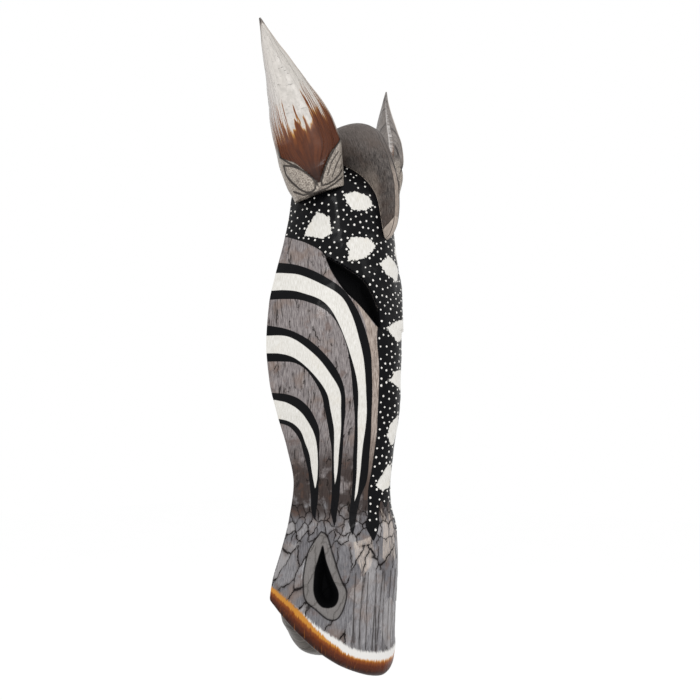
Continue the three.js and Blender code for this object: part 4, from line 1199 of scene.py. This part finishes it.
forelock, column, row = add_grid("forelock_mane", FORELOCK_COLUMNS, FORELOCK_ROWS)
stations = np.array(FORELOCK, float)
level = smooth_curve(FORELOCK_LEVELS)(row / FORELOCK_ROWS)
front, half, back = (smooth_curve(list(zip(stations[:, 0], stations[:, i])))(level) for i in (1, 2, 3))
keel = FORELOCK_KEEL * np.minimum(1, half / 6)
around = column / FORELOCK_COLUMNS * 2
hand = np.where(around <= 1, 1.0, -1.0)
go = np.where(around <= 1, around, 2 - around)
bend = np.clip((go - KEEL_SHARE) / (0.72 - KEEL_SHARE), 0, 1) * math.pi / 2
x = np.where(go < KEEL_SHARE, keel * go / KEEL_SHARE, keel + (half - keel) * np.sin(bend))
y = -front + (front - back) * 0.62 * (1 - np.cos(bend))
tuck, close = np.clip((go - 0.72) / 0.14, 0, 1), np.clip((go - 0.86) / 0.14, 0, 1)
x = x * (1 - 0.1 * tuck) * (1 - close)
y = y + (front - back) * (0.38 - 0.12) * tuck + (front - back) * 0.12 * ease(close, 0, 0.35)
flank = np.where(go > KEEL_SHARE, np.hypot(x - keel, y + front), (go / KEEL_SHARE - 1) * keel)
made = np.stack([x * hand, y, level], -1)
combed = 0.18 * np.sin(1.9 * flank + 0.25 * level + 1.5 * np.sin(level * 0.13)) * ease(flank, 1, 4)
combed += 0.22 * chisel(made, 8, 19, 12) * ease(flank, 0, 3) - 0.45 * np.exp(-(flank / 0.6) ** 2)
made[:, :2] *= (1 + combed * (1 - tuck) * (1 - close) * (row < FORELOCK_ROWS - 4) / 60)[:, None]
set_values(forelock.data, "flank", flank)
set_values(forelock.data, "mane_place", np.stack([flank * hand / 10, level / 10, 0 * level], -1))
for end in (0, FORELOCK_ROWS):
    made[row == end] = made[row == end].mean(axis=0)
write_points(forelock.data, row_frame(made))
close_up(forelock)
combine(forelock, blank_body(PLAY), "DIFFERENCE")
for sign in (-1, 1):
    combine(forelock, ear_body("ear_cutter", sign, PLAY, carved=False), "DIFFERENCE")
for peg_height in FORELOCK_PEG_HEIGHTS.values():
    ends = forelock_peg_ends(peg_height, PLAY)
    combine(forelock, add_round("socket", *ends, FORELOCK_PEG_RADIUS + PLAY), "DIFFERENCE")

mane = Finish("forelock_stained_wood", coat_weight=0.1, coat_roughness=0.3, specular_ior_level=0.2)
on_mane = mane.place("mane_place")
up_mane = mane.part(on_mane, "Y")
beside = mane.value("flank")
scratch = mane.fibres(on_mane, (13, 2.0, 1), 4, 0.75)
cross = mane.fibres(on_mane, (9, 7, 1), 3, 0.7)
soft = mane.noise(on_mane, 0.6, 3, 0.6)
stained = mane.mix(scratch.over(0.35, 0.66), "#25211f", "#625b57")
stained = stained.coat(cross.over(0.55, 0.68) * 0.75, "#141110")
stained = stained.coat(soft.over(0.45, 0.65) * 0.4, "#4a3a31")
crown = up_mane.over(39.5, 42.5) * (1 - up_mane.over(43.2, 43.8))
stained = stained.coat(crown * 0.4, "#6b625d")
# Painted highlight: the flanks are paler low down, away from the keel.
painted_edge_highlight = beside.over(10, 16) * (1 - up_mane.over(38, 40)) * scratch.over(0.3, 0.6)
stained = stained.coat(painted_edge_highlight * 0.6, "#8f8378")
facet = (1 - beside.over(-0.25, 0.05)) * (1 - up_mane.over(38.5, 40.5))
facet_wood = mane.mix(scratch.over(0.4, 0.65), "#7f736a", "#a99c90")
stained = mane.mix(facet * 0.9, stained, facet_wood)
cut_line = 35.2 - beside.most(0.0) * 0.11 + (soft - 0.5) * 0.25
toe = 1 - (up_mane - cut_line).over(-0.03, 0.03)
stained = mane.mix(toe, stained, mane.mix(scratch.over(0.4, 0.7), "#9b8f85", "#b9aca0"))
toe_line = (1 - abs(up_mane - cut_line).over(0.02, 0.08)) * beside.over(0, 0.4)
edge_line = (1 - abs(beside).over(0.15, 0.6)).most(toe_line)
stained = stained.coat(edge_line * 0.85, "#17110f")
mane.apply(stained, 0.5 + scratch * 0.2, scratch + cross * 0.6, 0.0005)
dress(forelock, mane, 50)
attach(forelock, "mask")
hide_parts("forelock")

# ---------------------------------------------------------------- the pegs
# Ears and forelock are fixed with hardwood dowels, glued into drilled sockets. Each dowel has
# chamfered ends and shallow grooves along it that let the spare glue out.
PEG_CHAMFER = 1.0
PEG_GROOVES = 12
PEG_GROOVE_DEPTH = 0.25

dowel = Finish("dowel_hardwood", specular_ior_level=0.3)
on_dowel = dowel.place()
dowel_grain = dowel.fibres(on_dowel, (900, 900, 120), 4, 0.6)
pores = dowel.fibres(on_dowel, (3000, 3000, 300), 2, 0.6)
beech = dowel.mix(dowel_grain.over(0.35, 0.65), "#b98f5f", "#dcbd8f")
beech = beech.coat(pores.over(0.58, 0.68) * 0.6, "#7d5936")
dowel.apply(beech, 0.6 + dowel_grain * 0.15, dowel_grain + pores, 0.0003)


def add_peg(name, start, end, radius):
    """One grooved dowel between two points in mm, ready to ride with the mask."""
    start, end = np.array(start, float), np.array(end, float)
    length = np.linalg.norm(end - start)
    along = (end - start) / length
    flat = np.cross(along, [1, 0, 0] if abs(along[0]) < 0.9 else [0, 1, 0])
    flat /= np.linalg.norm(flat)
    up = np.cross(along, flat)

    def shape(turn, share):
        place = np.clip((share - 0.04) / 0.92, 0, 1) * length
        chamfer = np.clip(np.minimum(place, length - place) / PEG_CHAMFER, 0, 1)
        groove = np.abs(np.cos(turn * PEG_GROOVES / 2)) ** 6 * PEG_GROOVE_DEPTH * chamfer
        reach = radius - (1 - chamfer) * PEG_CHAMFER * 0.6 - groove
        return (start + np.outer(place, along) + np.outer(np.cos(turn) * reach, flat)
                + np.outer(np.sin(turn) * reach, up))

    obj = lofted(name + "_dowel", 96, 50, shape)
    dress(obj, dowel, 40)
    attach(obj, "mask")
    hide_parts(name)


for name, sign in (("left", -1), ("right", 1)):
    foot, _, along, _, _, _ = ear_axes(sign)
    reach = along * EAR_PEG_LENGTH / 2
    add_peg("ear_peg_" + name, foot - reach, foot + reach, EAR_PEG_RADIUS)
for name, level in FORELOCK_PEG_HEIGHTS.items():
    add_peg("forelock_peg_" + name, *forelock_peg_ends(level), FORELOCK_PEG_RADIUS)

# ---------------------------------------------------------------- the hanger
# A strap of zinc-plated steel is curled into an eye at its upper end and screwed to the recess
# floor. A bent wire ring turns in the eye, and lies flat in the recess or swings up to the nail.
PLATE_THICKNESS = 1.2
FACE_GAP = 0.3
STRAP_HALF = 6.2
STRAP_LENGTH = 35
STRAP_EDGE = 0.14
WIRE_RADIUS = 1.2
WIRE_PLAY = 0.35
RING_HALF = 8.4
RING_LEG = 5
SCREW_HEAD, SCREW_HEAD_HEIGHT = 3.4, 1.8
THREAD_PITCH, THREAD_ROOT, THREAD_CREST = 1.3, 1.1, 1.5
PLATE_BACK = FACE_GAP - RECESS_DEPTH
EYE_BORE = WIRE_RADIUS + WIRE_PLAY
EYE_DEEP = PLATE_BACK + PLATE_THICKNESS + EYE_BORE

zinc = Finish("zinc_plated_steel", metallic=1.0, specular_ior_level=0.5)
on_zinc = zinc.place()
bloom = zinc.noise(on_zinc, 420, 4, 0.6)
scuff = zinc.fibres(on_zinc, (4200, 4200, 500), 3, 0.6)
rust = zinc.noise(zinc.shift(on_zinc, (0.3, 0.1, 0.2)), 260, 4, 0.6).over(0.62, 0.72)
plated = zinc.mix(bloom.over(0.35, 0.65), "#9fa2a4", "#c9cac8")
plated = plated.coat(scuff.over(0.6, 0.72) * 0.5, "#7f7f7e")
plated = plated.coat(rust * 0.4, "#7a5a40")
zinc.apply(plated, 0.28 + bloom * 0.2 + rust * 0.3, scuff * 0.5 + bloom * 0.5, 0.00006)

strap_middle = (0, PLATE_BACK + PLATE_THICKNESS / 2, RING_AXIS_HEIGHT - STRAP_LENGTH / 2)
strap = add_box("hanger_strap_plate", strap_middle, (2 * STRAP_HALF, PLATE_THICKNESS, STRAP_LENGTH))
round_corners(strap, STRAP_HALF - 0.05, 16, below=RING_AXIS_HEIGHT - STRAP_LENGTH / 2)
eye_start, eye_end = (-STRAP_HALF, EYE_DEEP, RING_AXIS_HEIGHT), (STRAP_HALF, EYE_DEEP, RING_AXIS_HEIGHT)
combine(strap, add_round("eye", eye_start, eye_end, EYE_BORE + PLATE_THICKNESS, sides=48), "UNION")
bore_ends = np.array([[-2, 0, 0], [2, 0, 0]]) + [eye_start, eye_end]
combine(strap, add_round("bore", *bore_ends, EYE_BORE, sides=48), "DIFFERENCE")
seam = (0, EYE_DEEP - 0.4, RING_AXIS_HEIGHT + EYE_BORE + PLATE_THICKNESS / 2)
combine(strap, add_box("seam", seam, (2 * STRAP_HALF + 2, 0.35, PLATE_THICKNESS + 0.5)), "DIFFERENCE")
for drop in SCREW_DROPS.values():
    level = RING_AXIS_HEIGHT - drop
    hole = (0, PLATE_BACK - 1, level), (0, PLATE_BACK + PLATE_THICKNESS + 1, level)
    combine(strap, add_round("hole", *hole, SCREW_RADIUS + PLAY, sides=32), "DIFFERENCE")
select_only(strap)
softened = strap.modifiers.new("softened", "BEVEL")
softened.width, softened.segments = STRAP_EDGE * MM, 3
softened.limit_method, softened.angle_limit = "ANGLE", math.radians(40)
bpy.ops.object.modifier_apply(modifier=softened.name)
dress(strap, zinc, 35)
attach(strap, "mask")
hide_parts("hanger_strap")

# The wire runs through the eye, round a tight bend, down a leg, and round the half circle back up.
tight_bend = [(WIRE_RADIUS * (1 - math.sin(a)), WIRE_RADIUS * (1 - math.cos(a))) for a in (0.4, 0.8, 1.2)]
corners = [(-RING_HALF + WIRE_RADIUS + (RING_HALF - WIRE_RADIUS) * i / 3, 0.0) for i in range(7)]
corners += [(RING_HALF - short, -long) for short, long in tight_bend]
corners += [(RING_HALF, -WIRE_RADIUS - (RING_LEG - WIRE_RADIUS) * i / 3) for i in range(3)]
half_turn = np.linspace(0, math.pi, 33)
corners += [(RING_HALF * math.cos(a), -RING_LEG - RING_HALF * math.sin(a)) for a in half_turn]
corners += [(-RING_HALF, -RING_LEG + (RING_LEG - WIRE_RADIUS) * i / 3) for i in (1, 2, 3)]
corners += [(-RING_HALF + long, -short) for short, long in tight_bend]
ring_line = bpy.data.curves.new("hanger_ring_wire", "CURVE")
ring_line.dimensions = "3D"
ring_line.bevel_depth, ring_line.bevel_resolution = WIRE_RADIUS * MM, 5
ring_spline = ring_line.splines.new("POLY")
ring_spline.points.add(len(corners) - 1)
for knot, (x, z) in zip(ring_spline.points, corners):
    knot.co = (*row_frame([x, EYE_DEEP, RING_AXIS_HEIGHT + z]), 1)
ring_spline.use_cyclic_u = True
ring = bpy.data.objects.new("hanger_ring_wire", ring_line)
bpy.context.scene.collection.objects.link(ring)
select_only(ring)
bpy.ops.object.convert(target="MESH")
ring = bpy.context.object
close_up(ring, gap=1e-6)
bpy.ops.object.shade_smooth()
ring.data.materials.clear()
ring.data.materials.append(zinc.material)
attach(ring, "ring")
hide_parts("hanger_ring")


def screw_shape(seat, level):
    """The shape of a pan-head screw whose head sits at seat, in mm from the wall."""
    profile = [(0, -SCREW_LENGTH), (0.5, -SCREW_LENGTH + 1.5), (THREAD_ROOT, -SCREW_LENGTH + 4),
               (THREAD_ROOT, -1.2), (SCREW_RADIUS, -0.8), (SCREW_RADIUS, 0), (SCREW_HEAD * 0.97, 0),
               (SCREW_HEAD, 0.25), (SCREW_HEAD, SCREW_HEAD_HEIGHT * 0.35),
               (SCREW_HEAD * 0.9, SCREW_HEAD_HEIGHT * 0.68), (SCREW_HEAD * 0.72, SCREW_HEAD_HEIGHT * 0.86),
               (SCREW_HEAD * 0.4, SCREW_HEAD_HEIGHT * 0.97), (0, SCREW_HEAD_HEIGHT)]
    lengths = np.cumsum([0] + [math.dist(a, b) for a, b in zip(profile, profile[1:])])

    def shape(turn, share):
        at = share * lengths[-1]
        radius = np.interp(at, lengths, [p[0] for p in profile])
        deep = np.interp(at, lengths, [p[1] for p in profile])
        threaded = ease(deep, -SCREW_LENGTH, -SCREW_LENGTH + 3) * (1 - ease(deep, -2, -1.2))
        wave = np.abs(((deep / THREAD_PITCH - turn / (2 * np.pi)) % 1) - 0.5) * 2
        radius = radius + threaded * (THREAD_CREST - THREAD_ROOT) * np.clip(1 - wave * 2, 0, 1)
        return np.stack([np.cos(turn) * radius, seat + deep, level + np.sin(turn) * radius], -1)

    return shape


for name, drop in SCREW_DROPS.items():
    seat, level = PLATE_BACK + PLATE_THICKNESS + FACE_GAP, RING_AXIS_HEIGHT - drop
    screw = lofted("hanger_screw_" + name + "_pan_head", 40, 220, screw_shape(seat, level))
    for size in ((SCREW_HEAD * 1.15, 2, 0.75), (0.75, 2, SCREW_HEAD * 1.15)):
        slot_box = add_box("slot", (0, seat + SCREW_HEAD_HEIGHT + 0.15, level), size)
        combine(screw, slot_box, "DIFFERENCE")
    dress(screw, zinc, 38)
    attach(screw, "mask")
    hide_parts("hanger_screw_" + name)

# ---------------------------------------------------------------- the room
# The mask hangs free in front of a pale floor in soft white light, and is looked at from the
# front left, a little below its middle.
lowest, highest = Vector(cad_box[0]), Vector(cad_box[1])
tall_m = highest.z - lowest.z
FLOOR_DROP = 0.45
CAMERA_PLACE = (-0.5117, -0.4294)
CAMERA_RISE = 0.35
CAMERA_AIM = (0.0158, -0.0188, 0.4976)

bpy.ops.object.select_all(action="DESELECT")
bpy.ops.mesh.primitive_plane_add(size=12, location=(0, 0, lowest.z - FLOOR_DROP))
floor = bpy.context.object
floor.name = "floor"
ground = Finish("floor_paint", roughness=1.0, specular_ior_level=0.0)
pale_floor = ground.mix(ground.noise(ground.place(), 3, 2), "#fefefe", "#ffffff")
ground.apply(pale_floor)
floor.data.materials.append(ground.material)

world = bpy.data.worlds.new("room")
bpy.context.scene.world = world
world.use_nodes = True
world.node_tree.nodes["Background"].inputs["Color"].default_value = (1, 1, 1, 1)
world.node_tree.nodes["Background"].inputs["Strength"].default_value = 1.0

middle = Vector((0, -0.03, (lowest.z + highest.z) / 2))
LAMPS = [
    ("window", (-1.1, -0.63, 0.57), 0.3, 4),
    ("ceiling", (0.06, -1.05, 0.85), 0.45, 2.2),
]
for name, place, size, power in LAMPS:
    light = bpy.data.lights.new(name, "AREA")
    light.size, light.energy = size, power
    lamp = bpy.data.objects.new(name, light)
    lamp.location = middle + Vector(place)
    lamp.rotation_euler = (middle - lamp.location).to_track_quat("-Z", "Y").to_euler()
    bpy.context.scene.collection.objects.link(lamp)

eye = bpy.data.cameras.new("camera")
eye.lens = 41.04
eye.sensor_width = 36
camera = bpy.data.objects.new("camera", eye)
camera.location = (*CAMERA_PLACE, lowest.z + tall_m * CAMERA_RISE)
target = Vector((CAMERA_AIM[0], CAMERA_AIM[1], lowest.z + tall_m * CAMERA_AIM[2]))
camera.rotation_euler = (target - camera.location).to_track_quat("-Z", "Y").to_euler()
bpy.context.scene.collection.objects.link(camera)
bpy.context.scene.camera = camera
bpy.context.scene.view_settings.view_transform = "Standard"
